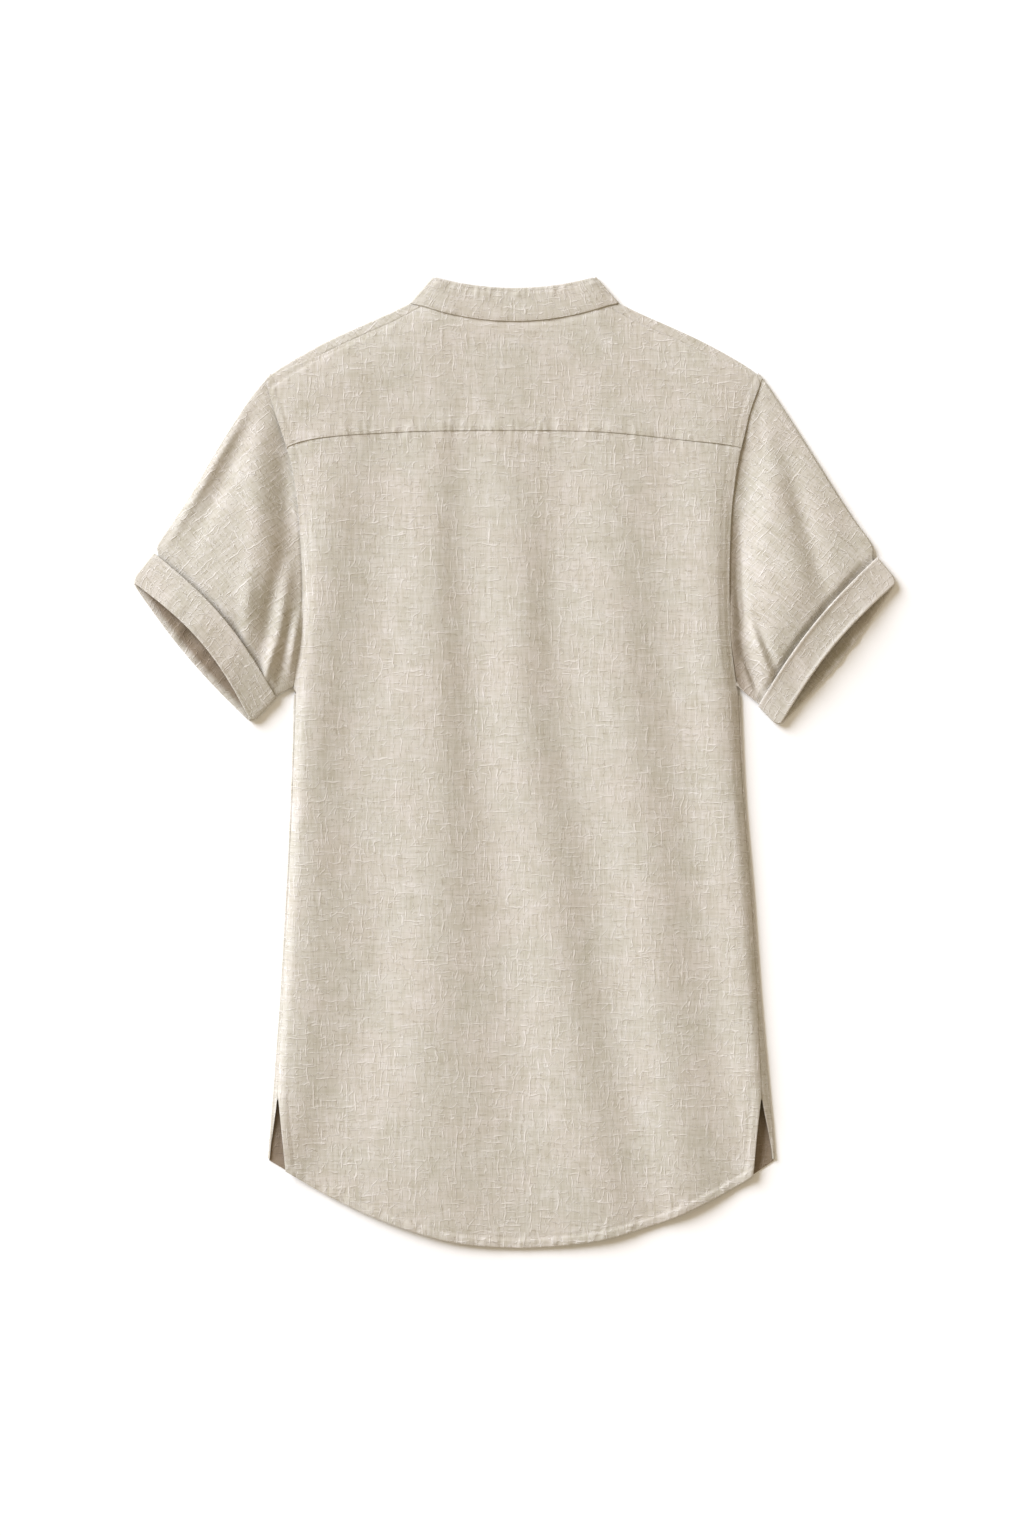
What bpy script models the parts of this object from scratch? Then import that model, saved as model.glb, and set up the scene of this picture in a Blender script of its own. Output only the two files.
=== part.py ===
"""A band-collar shirt with turned-back short sleeves, laid flat on its front.

The shirt lies on the plane z = 0 with its back up. Its collar points to +Y and its own left sleeve to -X.
Each piece that is cut and sewn is one wall of cloth in one object: a sheet of points worked out from the
tables below, made thick by a Solidify modifier. The tables are in millimetres, the meshes in metres.
"""

import math

import bmesh
import bpy
from mathutils import Vector

MM = 0.001
COLLECTION = "band_collar_shirt"
SHARP = math.radians(45)  # an edge with a wider angle between its faces looks sharp

# Cloth
CLOTH = 1.2            # wall of the body, sleeves, cuffs and placket
BAND = 1.5             # wall of the collar band, which is two layers sewn together
SEAM_GAP = 0.3         # between the edges of two pieces that are sewn together
FOLD = 1.5             # radius of the middle of the cloth where it folds back on itself
FOLD_ANGLES = (90, 45, 0, -45, -90)

# Body, as it lies. Each row is one level up the side.
SIDES = (              # y, left edge, right edge
    (-398, -247.0, 260.5),
    (-364, -244.3, 258.0),
    (-330, -241.5, 254.8),
    (-230, -234.2, 245.8),
    (-130, -228.6, 238.6),
    (-30, -223.9, 230.2),
    (72, -220.5, 225.5),
)
SIDE_SEAMS = (         # y, how far the seam lies in from the left edge, and from the right edge
    (-330, 5.0, 8.3),
    (-230, 3.2, 4.2),
    (-130, 2.5, 2.9),
    (72, 2.4, 2.4),
)
ARMPIT, SLIT_TOP = 72, -330
BACK_SLITS = (         # y, left edge, right edge of the back below the top of the slits
    (-411, -228.6, 238.6),
    (-370, -232.6, 242.2),
    (-330, -236.5, 246.5),
)
HEM = (                # x, y of the curved hem
    (-247, -398), (-228.5, -409), (-192.5, -430), (-152, -450), (-110.5, -466), (-66, -479),
    (-20.5, -484.5), (28.5, -484.5), (84.5, -478), (128.5, -466), (162.5, -454), (200, -436),
    (231.5, -418), (261, -398),
)
ARMHOLES = (           # y, left seam, right seam
    (72, -220.8, 222.6),
    (98, -217.6, 218.9),
    (123, -215.0, 216.0),
    (165, -211.8, 214.8),
    (206, -212.9, 215.0),
    (254, -216.3, 217.2),
    (290, -221.2, 221.8),
    (312.6, -227.0, 226.2),
    (330, -232.8, 230.4),
    (347, -238.6, 234.4),
    (362, -243.4, 239.4),
    (376, -246.6, 244.8),
    (384, -248.3, 248.2),
)
SHOULDERS = (          # distance from the middle, y, width of front that shows on the back
    (248.2, 384, 8.0),
    (230.0, 396.5, 9.0),
    (211.5, 407.5, 9.5),
    (187.0, 420, 9.5),
    (163.0, 430.5, 9.5),
    (141.0, 438.5, 9.5),
    (121.5, 446, 9.5),
    (104.0, 459, 12.5),
)
YOKE_SEAM = (          # x, y
    (-228, 312.6), (-187, 324), (-134, 328.4), (-78, 330.5), (6, 331.2), (86.5, 329.5),
    (146.5, 324), (199, 317.5), (228, 312.6),
)

# Collar band, as it lies
COLLAR_HALF, COLLAR_BACK_Y, COLLAR_BASE_RADIUS = 104, 440, 283
COLLAR_TOP_HALF, COLLAR_TOP_Y, COLLAR_TOP_RADIUS = 81, 473.6, 296
COLLAR_HEIGHT = 33
COLLAR_SEAM_HALF = 92  # half the stretch of the band's back that is sewn to the yoke
COLLAR_TOP_LEVEL = 4.2
COLLAR_TOP_SHORT = 4   # how far short of the rounded corners the back's straight rows end
NECK_HALF, NECK_FRONT_Y = 112, 371  # the front neckline is part of an ellipse
CORNER_OUT = (0.72, 0.69)           # the way out of the fold at the collar's ends, for the right end

# Closure at the centre front
PLACKET_HALF = 14.3
BUTTON_DIAMETER, BUTTON_HEIGHT = 11, 1.8
BUTTON_YS = (340, 282, 224)
BUTTON_SIDES, BUTTON_ROUNDING = 20, 0.35
BUTTON_ROOM = BUTTON_HEIGHT + SEAM_GAP  # how far the buttons lift the cloth off the ground
LIFT_FROM, LIFT_RISE, LIFT_SIDE, LIFT_LEVEL = 120, 55, 45, 2  # y where that lift starts, over what length
                       # it rises up the front and falls to the sides, and how far it stays level
PLACKET_ROWS, PLACKET_CLEAR = 6, 1.5   # rows of the bands, and their gap to the end of the slot

# Sleeves and cuffs, as they lie. Corners are named by where they are on the cuff.
SLEEVES = {
    "left": {
        "sign": -1,
        "top": ((-266.5, 360), (-297.5, 312), (-325.5, 264), (-341.5, 240), (-357.0, 216)),
        "armpit": (-221.0, 74.8),
        "mouth": ((-383, 181), (-262, 38)),
        "free edge": ((-360, 209), (-237.6, 64)),
        "bulges": {"mouth": (14, -6), "free edge": (11, -4)},
    },
    "right": {
        "sign": 1,
        "top": ((264.5, 360), (295.5, 312), (325.5, 264), (341.5, 240), (358.0, 216)),
        "armpit": (225.0, 74.8),
        "mouth": ((383, 180.5), (264, 34.5)),
        "free edge": ((362.6, 205), (243.2, 56)),
        "bulges": {"mouth": (9, -6), "free edge": (8, -4)},
    },
}
CUFF_LAYER = 1.8       # from the middle of the cuff's inner layer to that of its turned-back layer
CUFF_SEAM = 0.68       # where the cuff is sewn to the sleeve, as a share of its width from the mouth
CUFF_OPEN, CUFF_CLOSED = 8.0, 6.0  # how far the mouth and the free edge stand open at the middle
CUFF_CLEAR = 16        # length over which the sleeve climbs onto the turned-back layer
CUFF_CLEAR_FROM = 1    # how far from the cuff's free edge that climb ends
CUFF_ROWS = (1, 0.5)   # rows of the turned-back layer, as shares of the cuff's width from the mouth
CUFF_TURN_ANGLES = (45, 90, 135)

# How high the upper layer lies
CROWN = 4.0            # lift of the back over the height of its folded sides
SIDE_REACH, SHOULDER_REACH, HEM_REACH = 55, 45, 110
HEM_LEVEL, HEM_CROWN = 2.4, 0.35  # height of the cloth at the hem, and share of the crown left there
SHOULDER_SLOPE = 0.87  # the way to the shoulder's edge as a share of the upright way to it
ARMHOLE_SHARE = 0.55   # how much of the crown is left in the valley along an armhole
ARMHOLE_FOOT, ARMHOLE_HEAD = 50, 45  # over what length the valley rises at its two ends
SLEEVE_CROWN, UNDERARM_CROWN = 3.0, 0.4  # the second is the share of the first left at the underarm
FOLDS_LOW, FOLDS_HIGH, FOLDS_END = -350, 300, 360  # levels of the tables' columns, and where folds end
FOLDS_AT_HEM, FOLDS_REACH = 0.45, 160  # share of their height left at the lowest level, and how they fade
FOLDS_SIDE, FOLDS_SHOULDER = 12, 20    # how near the sides and the shoulders they fade
FOLDS = (              # x at y 300, x at y 0, x at y -350, half width, height: the long soft folds
    (-198, -200, -216, 16, 1.4),
    (-84, -80, -94, 27, 2.6),
    (-20, 12, 72, 26, 2.0),
    (84, 110, 182, 26, 2.4),
    (198, 207, 238, 20, 1.4),
)
SLEEVE_FOLDS = {       # place across the armhole, place across the cuff, half width, height
    "left": ((0.30, 0.22, 0.10, 1.2), (0.72, 0.62, 0.10, 1.5)),
    "right": ((0.20, 0.18, 0.10, 1.0), (0.62, 0.66, 0.09, 1.7)),
}

# Divisions of the sheets
FRONT_LEVELS = (-398, -364, -330, -230, -130, -30, 72, 98, 123, 165, 206, 254, 312.6, 347, 384)
BACK_LEVELS = (-411, -370, -330, -280, -230, -180, -130, -80, -30, 21, 72, 98, 123, 165, 206, 254, 290, 312.6)
YOKE_LEVELS = (312.6, 330, 347, 362, 376)
ARM_UPPER = (376, 362, 347, 330, 312.6, 290, 254, 206, 165, 123, 98)
ARM_LOWER = (98, 123, 165, 206, 254, 312.6, 347)
SLEEVE_RINGS = (0, 0.1, 0.24, 0.4, 0.52, 0.64, 0.8, 0.9)  # then one under the cuff's free edge, and the end
PLACKET_LEVEL = 206    # the front's level where the placket ends
SHOULDER_COLUMNS, NECK_COLUMNS = 7, 10
COLUMNS = 2 * SHOULDER_COLUMNS + NECK_COLUMNS
MIDDLE = COLUMNS // 2
NECK_ANGLES = (21.79, 37, 52, 67, 82.66, 90)  # from the side of the neck to the centre front

LINEN = (0.62, 0.56, 0.47, 1)
HORN = (0.80, 0.76, 0.66, 1)


# Curves and surfaces

def between(a, b, share):
    return a + (b - a) * share


def rise(distance, reach):
    """0 at an edge and 1 from `reach` inwards, steepest at the edge."""
    share = min(max(distance / reach, 0), 1)
    return share * (2 - share)


def along(table, at, column=1):
    """Reads a column of a table whose first column climbs, as a smooth curve through its rows."""
    last = len(table) - 1
    row = next((i for i in range(last) if at < table[i + 1][0]), last - 1)
    keys = [table[min(max(row + i, 0), last)][0] for i in (-1, 0, 1, 2)]
    values = [table[min(max(row + i, 0), last)][column] for i in (-1, 0, 1, 2)]
    step = keys[2] - keys[1]
    share = (at - keys[1]) / step
    if not 0 < share < 1:
        return between(values[1], values[2], share)
    slope_in = (values[2] - values[0]) / (keys[2] - keys[0]) * step
    slope_out = (values[3] - values[1]) / (keys[3] - keys[1]) * step
    square, cube = share ** 2, share ** 3
    return (
        (2 * cube - 3 * square + 1) * values[1] + (cube - 2 * square + share) * slope_in
        + (3 * square - 2 * cube) * values[2] + (cube - square) * slope_out
    )


def path_length(points):
    return sum(math.dist(a, b) for a, b in zip(points, points[1:]))


def path_point(points, share):
    """The point that lies this share of the way along a run of points."""
    lengths = [math.dist(a, b) for a, b in zip(points, points[1:])]
    left = share * sum(lengths)
    for a, b, length in zip(points, points[1:], lengths):
        if left <= length or b is points[-1]:
            return Vector(a).lerp(Vector(b), left / length)
        left -= length


def arc_y(x, middle_y, radius):
    """Height of an arc that hangs down to `middle_y` at the middle of the shirt."""
    return middle_y + radius - math.sqrt(radius ** 2 - x ** 2)


def upper_outline(x):
    """The top edge of the shirt as it lies: shoulders, ends of the collar and the collar's top edge."""
    away = abs(x)
    if away <= COLLAR_TOP_HALF:
        return arc_y(away, COLLAR_TOP_Y, COLLAR_TOP_RADIUS)
    if away <= COLLAR_HALF:
        share = (away - COLLAR_TOP_HALF) / (COLLAR_HALF - COLLAR_TOP_HALF)
        return between(arc_y(COLLAR_TOP_HALF, COLLAR_TOP_Y, COLLAR_TOP_RADIUS), SHOULDERS[-1][1], share)
    return along([row[:2] for row in reversed(SHOULDERS)], away)


def side_edges(y):
    """The left and right edges of the body: the folded sides, and the armholes above them."""
    table = SIDES if y <= ARMPIT else ARMHOLES
    return along(table, y, 1), along(table, y, 2)


def folds(x, y):
    """Height that the long folds add to the back."""
    total = 0
    for at_high, at_waist, at_low, half_width, height in FOLDS:
        crest = along(((FOLDS_LOW, at_low), (0, at_waist), (FOLDS_HIGH, at_high)), y)
        if y < 0:
            fade = between(FOLDS_AT_HEM, 1, rise(y - FOLDS_LOW, FOLDS_REACH))
        else:
            fade = rise(FOLDS_END - y, FOLDS_REACH)
        total += height * fade * math.exp(-(((x - crest) / half_width) ** 2))
    return total


def armhole_share(y):
    return ARMHOLE_SHARE * rise(y - ARMPIT, ARMHOLE_FOOT) * rise(SHOULDERS[0][1] - y, ARMHOLE_HEAD)


def upper_height(x, y):
    """Height of the middle of the cloth where the shirt's upper layer lies."""
    left, right = side_edges(y)
    inside = min(x - left, right - x)
    edge = FOLD + CLOTH / 2
    if y <= ARMPIT:
        across = rise(inside - edge, SIDE_REACH)
    else:
        share = armhole_share(y)
        across = share + (1 - share) * rise(inside, SIDE_REACH)
    below_top = (upper_outline(x) - y) * SHOULDER_SLOPE - edge
    above_hem = y - along(HEM, x)
    base = between(HEM_LEVEL, CLOTH / 2 + 2 * FOLD, rise(above_hem, HEM_REACH))
    swell = between(HEM_CROWN, 1, rise(above_hem, HEM_REACH))
    crown = CROWN * across * rise(below_top, SHOULDER_REACH) * swell
    ridges = folds(x, y) * rise(inside - edge, FOLDS_SIDE) * rise(below_top, FOLDS_SHOULDER)
    return base + crown + ridges


def lower_lift(x, y):
    """How far the buttons lift the lower layer off the ground."""
    beside = 1 - rise(abs(x) - PLACKET_HALF - LIFT_LEVEL, LIFT_SIDE)
    return BUTTON_ROOM * beside * rise(y - LIFT_FROM, LIFT_RISE)


def across(column, left, right):
    """Place of a column between two edges, with the placket's columns at their own places."""
    if column < MIDDLE:
        return between(left, -PLACKET_HALF, column / (MIDDLE - 1))
    if column == MIDDLE:
        return 0
    return between(PLACKET_HALF, right, (column - MIDDLE - 1) / (MIDDLE - 1))


def shoulder_tip(sign):
    """The outer end of a shoulder, where the armhole goes round the fold, and the way out of it."""
    side = 1 if sign < 0 else 2
    ends = [Vector((along(ARMHOLES, y, side), y)) for y in (YOKE_LEVELS[-1], SHOULDERS[0][1])]
    return ends[1], (ends[1] - ends[0]).normalized()


def shoulder_points(column):
    """Where a column meets the shoulder: on the outer edge of the fold, on the seam, and the way out."""
    sign = -1 if column <= SHOULDER_COLUMNS else 1
    row = column if sign < 0 else COLUMNS - column
    away, y, width = SHOULDERS[row]
    outer = Vector((sign * away, y))
    if row == 0:
        tip, out = shoulder_tip(sign)
        return tip, Vector((along(ARMHOLES, YOKE_LEVELS[-1], 1 if sign < 0 else 2), YOKE_LEVELS[-1])), out
    if row == SHOULDER_COLUMNS:
        seam = Vector((sign * COLLAR_SEAM_HALF, arc_y(COLLAR_SEAM_HALF, COLLAR_BACK_Y, COLLAR_BASE_RADIUS)))
        return outer, seam, Vector((sign * CORNER_OUT[0], CORNER_OUT[1]))
    before, after = SHOULDERS[row - 1], SHOULDERS[row + 1]
    run = Vector((sign * (after[0] - before[0]), after[1] - before[1])).normalized()
    out = Vector((-run.y, run.x)) if run.x > 0 else Vector((run.y, -run.x))
    return outer, outer - out * width, out


def neck_point(column):
    """A point on the front neckline, and the way from it to the middle of the neck."""
    sign = -1 if column <= MIDDLE else 1
    row = column - SHOULDER_COLUMNS if sign < 0 else COLUMNS - SHOULDER_COLUMNS - column
    start = math.sin(math.radians(NECK_ANGLES[0]))
    depth = (SHOULDERS[-1][1] - NECK_FRONT_Y) / (1 - start)
    angle = math.radians(NECK_ANGLES[row])
    point = Vector((sign * NECK_HALF * math.cos(angle), NECK_FRONT_Y + depth * (1 - math.sin(angle))))
    inward = Vector((-sign * depth * math.cos(angle), NECK_HALF * math.sin(angle)))
    return point, inward.normalized()


# Making objects

def make_material(name, colour, roughness):
    material = bpy.data.materials.new(name)
    material.use_nodes = True
    shader = material.node_tree.nodes["Principled BSDF"]
    shader.inputs["Base Color"].default_value = colour
    shader.inputs["Roughness"].default_value = roughness
    shader.inputs["Metallic"].default_value = 0
    return material


def make_sheet(name, points, wall, holes=(), around=0):
    """A wall of cloth. `points` maps (row, column) to a place in millimetres, and a face is made wherever
    the four corners of a cell have one, apart from the cells in `holes`. A sheet that closes on itself
    has `around` columns."""
    mesh = bpy.data.meshes.new(name)
    shape = bmesh.new()
    corners = {key: shape.verts.new(Vector(place) * MM) for key, place in points.items()}
    for row, column in points:
        after = (column + 1) % around if around else column + 1
        cell = [(row, column), (row, after), (row + 1, after), (row + 1, column)]
        if (row, column) not in holes and all(key in corners for key in cell):
            shape.faces.new([corners[key] for key in cell])
    shape.to_mesh(mesh)
    shape.free()
    mesh.materials.append(MATERIALS["linen"])
    mesh.shade_smooth()
    mesh.set_sharp_from_angle(angle=SHARP)
    piece = bpy.data.objects.new(name, mesh)
    PARTS.objects.link(piece)
    thickness = piece.modifiers.new("cloth", "SOLIDIFY")
    thickness.thickness = wall * MM
    thickness.offset = 0
    thickness.use_even_offset = True
    return piece


def make_tube(name, rings, wall):
    """A wall of cloth through closed rings of equally many points."""
    points = {(row, column): place for row, ring in enumerate(rings) for column, place in enumerate(ring)}
    return make_sheet(name, points, wall, around=len(rings[0]))


def fold_ring(edge, out, middle_z, radius, wall):
    """Points round a fold whose outside reaches `edge`, from the upper layer to the lower one."""
    centre = edge - out * (radius + wall / 2)
    places = []
    for angle in map(math.radians, FOLD_ANGLES):
        plan = centre + out * (radius * math.cos(angle))
        places.append((plan.x, plan.y, middle_z + radius * math.sin(angle)))
    return places


# The pieces

def level_share(levels, row):
    return (levels[row] - levels[0]) / (levels[-1] - levels[0])


def seam_end(sign):
    """Where the yoke seam meets an armhole."""
    return along(ARMHOLES, BACK_LEVELS[-1], 1 if sign < 0 else 2) - sign * SEAM_GAP / 2


def build_back():
    top = len(BACK_LEVELS) - 1
    seam_ends = seam_end(-1), seam_end(1)
    points = {}
    for row, level in enumerate(BACK_LEVELS):
        if level < SLIT_TOP:
            left, right = along(BACK_SLITS, level, 1), along(BACK_SLITS, level, 2)
        elif level <= ARMPIT:
            edges = side_edges(level)
            left = edges[0] + along(SIDE_SEAMS, level, 1) + SEAM_GAP
            right = edges[1] - along(SIDE_SEAMS, level, 2) - SEAM_GAP
        else:
            edges = side_edges(level)
            left, right = edges[0] + SEAM_GAP / 2, edges[1] - SEAM_GAP / 2
        for column in range(COLUMNS + 1):
            x = across(column, left, right)
            low = along(HEM, across(column, BACK_SLITS[0][1], BACK_SLITS[0][2]))
            high = along(YOKE_SEAM, across(column, *seam_ends)) - SEAM_GAP
            y = between(low, high, level_share(BACK_LEVELS, row))
            if row == top:
                x = across(column, *seam_ends)
            points[row, column] = (x, y, upper_height(x, y))
    return make_sheet("back", points, CLOTH)


def yoke_top(column):
    """Where a column of the yoke meets the shoulder seams and the collar's seam."""
    if column <= SHOULDER_COLUMNS or column >= COLUMNS - SHOULDER_COLUMNS:
        return shoulder_points(column)[1]
    share = (column - SHOULDER_COLUMNS) / NECK_COLUMNS
    x = between(-COLLAR_SEAM_HALF, COLLAR_SEAM_HALF, share)
    return Vector((x, arc_y(x, COLLAR_BACK_Y, COLLAR_BASE_RADIUS)))


def build_yoke():
    seam_ends = seam_end(-1), seam_end(1)
    points = {}
    for row, level in enumerate(YOKE_LEVELS):
        share = level_share(YOKE_LEVELS, row)
        edges = side_edges(level)
        for column in range(COLUMNS + 1):
            start_x = across(column, *seam_ends)
            start = Vector((start_x, along(YOKE_SEAM, start_x)))
            place = start.lerp(yoke_top(column) - Vector((0, SEAM_GAP)), share)
            if column in (0, COLUMNS):
                place.x = edges[0] + SEAM_GAP / 2 if column == 0 else edges[1] - SEAM_GAP / 2
            points[row, column] = (place.x, place.y, upper_height(place.x, place.y))
    return make_sheet("yoke", points, CLOTH)


def front_top(column):
    if SHOULDER_COLUMNS < column < COLUMNS - SHOULDER_COLUMNS:
        return neck_point(column)[0]
    return shoulder_points(column)[0]


def build_front():
    points = {}
    top = len(FRONT_LEVELS) - 1
    low_level = CLOTH / 2
    fold_in = FOLD + CLOTH / 2
    spread_from = FRONT_LEVELS.index(PLACKET_LEVEL)
    for row, level in enumerate(FRONT_LEVELS):
        left, right = side_edges(level)
        if SLIT_TOP <= level <= ARMPIT:
            left, right = left + fold_in, right - fold_in
        elif level > ARMPIT:
            left, right = left + SEAM_GAP / 2, right - SEAM_GAP / 2
        spread = max(0, (row - spread_from) / (top - spread_from)) ** 2
        for column in range(COLUMNS + 1):
            end = front_top(column)
            low = along(HEM, across(column, SIDES[0][1], SIDES[0][2]))
            y = between(low, end.y, level_share(FRONT_LEVELS, row))
            x = across(column, left, right)
            if 0 < column < COLUMNS:
                x = between(x, end.x, spread)
            points[row, column] = (x, y, low_level + lower_lift(x, y))
    side_flaps(points)
    shoulder_flaps(points, top)
    first = FRONT_LEVELS.index(PLACKET_LEVEL)
    holes = {(row, column) for row in range(first, top) for column in (MIDDLE - 1, MIDDLE)}
    return make_sheet("front", points, CLOTH, holes)


def side_flaps(points):
    """The front goes round each side fold and on over the back to the side seam."""
    for row, level in enumerate(FRONT_LEVELS):
        if not SLIT_TOP <= level <= ARMPIT:
            continue
        for side, sign, edge_column in ((0, -1, 0), (1, 1, COLUMNS)):
            y = points[row, edge_column][1]
            outer = side_edges(level)[side]
            ring = fold_ring(Vector((outer, y)), Vector((sign, 0)), CLOTH / 2 + FOLD, FOLD, CLOTH)
            for step, place in enumerate(reversed(ring)):
                if step:
                    points[row, edge_column + sign * step] = place
            seam_x = outer - sign * along(SIDE_SEAMS, level, side + 1)
            last = edge_column + sign * len(ring)
            if abs(seam_x - outer) > FOLD + CLOTH / 2:
                points[row, last] = (seam_x, y, upper_height(seam_x, y))


def shoulder_flaps(points, top):
    """The front goes over each shoulder fold and on over the back to the shoulder seam."""
    for column in range(COLUMNS + 1):
        if SHOULDER_COLUMNS < column < COLUMNS - SHOULDER_COLUMNS:
            continue
        outer, seam, out = shoulder_points(column)
        if column in (0, COLUMNS):
            outer = outer + Vector((SEAM_GAP / 2 if column == 0 else -SEAM_GAP / 2, 0))
        ring = fold_ring(outer, out, CLOTH / 2 + FOLD, FOLD, CLOTH)
        for step, place in enumerate(reversed(ring)):
            points[top + step, column] = place
        if column in (0, COLUMNS):
            seam = seam + Vector((SEAM_GAP / 2 if column == 0 else -SEAM_GAP / 2, 0))
        points[top + len(ring), column] = (seam.x, seam.y, upper_height(seam.x, seam.y))


def collar_section(base, top, base_z, top_z):
    """One row across the band, from the seam to the top edge, clear of what it is sewn to."""
    up = (top - base).normalized()
    start = base + up * SEAM_GAP
    middle = start.lerp(top, 0.5)
    places = ((start, base_z), (middle, (base_z + top_z) / 2), (top, top_z))
    return [(place.x, place.y, z) for place, z in places]


def collar_fold(sign):
    """The rows round the fold at one end of the flattened band, from the upper layer to the lower one."""
    base = Vector((sign * COLLAR_HALF, SHOULDERS[-1][1]))
    top = Vector((sign * COLLAR_TOP_HALF, arc_y(COLLAR_TOP_HALF, COLLAR_TOP_Y, COLLAR_TOP_RADIUS)))
    out = Vector((sign * CORNER_OUT[0], CORNER_OUT[1]))
    low = BAND / 2
    rows = []
    base_ring = fold_ring(base, out, low + FOLD, FOLD, BAND)
    top_ring = fold_ring(top, out, low + FOLD, FOLD, BAND)
    for a, b in zip(base_ring, top_ring):
        rows.append(collar_section(Vector(a[:2]), Vector(b[:2]), a[2], b[2]))
    return rows


def collar_front(column, lift):
    base, inward = neck_point(column)
    top = base + inward * COLLAR_HEIGHT
    low = BAND / 2 + lift
    return collar_section(base, top, low + lower_lift(*base), low + lower_lift(*top))


def build_collar():
    rows = []
    for column in range(MIDDLE + 1, SHOULDER_COLUMNS, -1):
        under = BAND + SEAM_GAP if column >= MIDDLE - 1 else 0
        rows.append(collar_front(column, under))
    rows += reversed(collar_fold(-1))
    for column in range(SHOULDER_COLUMNS, COLUMNS - SHOULDER_COLUMNS + 1):
        base = yoke_top(column)
        top_x = base.x * (COLLAR_TOP_HALF - COLLAR_TOP_SHORT) / COLLAR_SEAM_HALF
        top = Vector((top_x, arc_y(top_x, COLLAR_TOP_Y, COLLAR_TOP_RADIUS)))
        rows.append(collar_section(base, top, upper_height(*base), COLLAR_TOP_LEVEL))
    rows += collar_fold(1)
    for column in range(COLUMNS - SHOULDER_COLUMNS - 1, MIDDLE - 2, -1):
        rows.append(collar_front(column, 0))
    points = {(row, step): place for row, places in enumerate(rows) for step, place in enumerate(places)}
    return make_sheet("collar_band", points, BAND)


def build_placket(name, level):
    """One band of the half placket, which fills the slot in the front."""
    end = between(
        along(HEM, 0), NECK_FRONT_Y, level_share(FRONT_LEVELS, FRONT_LEVELS.index(PLACKET_LEVEL))
    )
    points = {}
    for column, x in enumerate((SEAM_GAP - PLACKET_HALF, 0, PLACKET_HALF - SEAM_GAP)):
        for row in range(PLACKET_ROWS + 1):
            y = between(end + PLACKET_CLEAR, NECK_FRONT_Y - SEAM_GAP, row / PLACKET_ROWS)
            points[row, column] = (x, y, CLOTH / 2 + BUTTON_ROOM + level)
    return make_sheet(name, points, CLOTH)


def build_buttons():
    collar_y = NECK_FRONT_Y + COLLAR_HEIGHT / 2
    places = [("button_collar", collar_y)]
    places += [(f"button_{number + 1}", y) for number, y in enumerate(BUTTON_YS)]
    for name, y in places:
        bpy.ops.mesh.primitive_cylinder_add(
            vertices=BUTTON_SIDES, radius=BUTTON_DIAMETER / 2 * MM, depth=BUTTON_HEIGHT * MM,
            location=(0, y * MM, BUTTON_HEIGHT / 2 * MM),
        )
        button = bpy.context.object
        button.name = name
        button.data.name = name
        for collection in button.users_collection:
            collection.objects.unlink(button)
        PARTS.objects.link(button)
        button.data.materials.append(MATERIALS["horn"])
        edge = button.modifiers.new("round edge", "BEVEL")
        edge.width = BUTTON_ROUNDING * MM
        edge.segments = 1
        button.data.shade_smooth()
        button.data.set_sharp_from_angle(angle=SHARP)


def arm_place(side, y):
    """A point on the armhole seam, on the sleeve's side of it."""
    sleeve = SLEEVES[side]
    x = along(ARMHOLES, y, 1 if sleeve["sign"] < 0 else 2) + sleeve["sign"] * SEAM_GAP / 2
    return Vector((x, y))


def cuff_corners(side, share):
    """The two ends of the cuff at a share of its width from the mouth to its free edge."""
    sleeve = SLEEVES[side]
    return [Vector(a).lerp(Vector(b), share) for a, b in zip(sleeve["mouth"], sleeve["free edge"])]


def cuff_plan(side, share, place, upper):
    """A point on the cuff as it lies, `place` being 0 at the shoulder side and 1 at the underarm."""
    start, end = cuff_corners(side, share)
    run = (end - start).normalized()
    inward = Vector((-run.y, run.x)) if SLEEVES[side]["sign"] < 0 else Vector((run.y, -run.x))
    bulges = SLEEVES[side]["bulges"]
    which = 0 if upper else 1
    bulge = between(bulges["mouth"][which], bulges["free edge"][which], share)
    return start.lerp(end, place) + inward * bulge * math.sin(math.pi * place)


def cuff_height(share, place):
    """Height of the cuff's inner layer where it is uppermost."""
    swell = between(CUFF_OPEN, CUFF_CLOSED, share) * math.sin(math.pi * place)
    return CLOTH / 2 + CUFF_LAYER + 2 * FOLD + swell


def sleeve_places(levels):
    """Levels on the armhole as shares of the way from the shoulder to the armpit."""
    first, last = SHOULDERS[0][1], SLEEVES["left"]["armpit"][1]
    return [(first - y) / (first - last) for y in levels]


def cuff_loop(side, share, outer):
    """One ring of the cuff: its turned-back layer if `outer`, otherwise the layer inside it."""
    start, end = cuff_corners(side, share)
    run = (end - start).normalized()
    inset = 0 if outer else CUFF_LAYER
    radius = FOLD + (CUFF_LAYER if outer else 0)
    middle = CLOTH / 2 + CUFF_LAYER + FOLD
    over = CUFF_LAYER if outer else 0
    under = CLOTH / 2 + (0 if outer else CUFF_LAYER)
    ring = []
    for place in sleeve_places(ARM_UPPER):
        plan = cuff_plan(side, share, place, True)
        ring.append((plan.x, plan.y, cuff_height(share, place) + over))
    ring += fold_ring(end - run * inset, run, middle, radius, CLOTH)
    for place in sleeve_places(ARM_LOWER):
        plan = cuff_plan(side, share, place, False)
        ring.append((plan.x, plan.y, under))
    ring += reversed(fold_ring(start + run * inset, -run, middle, radius, CLOTH))
    return ring


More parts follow.
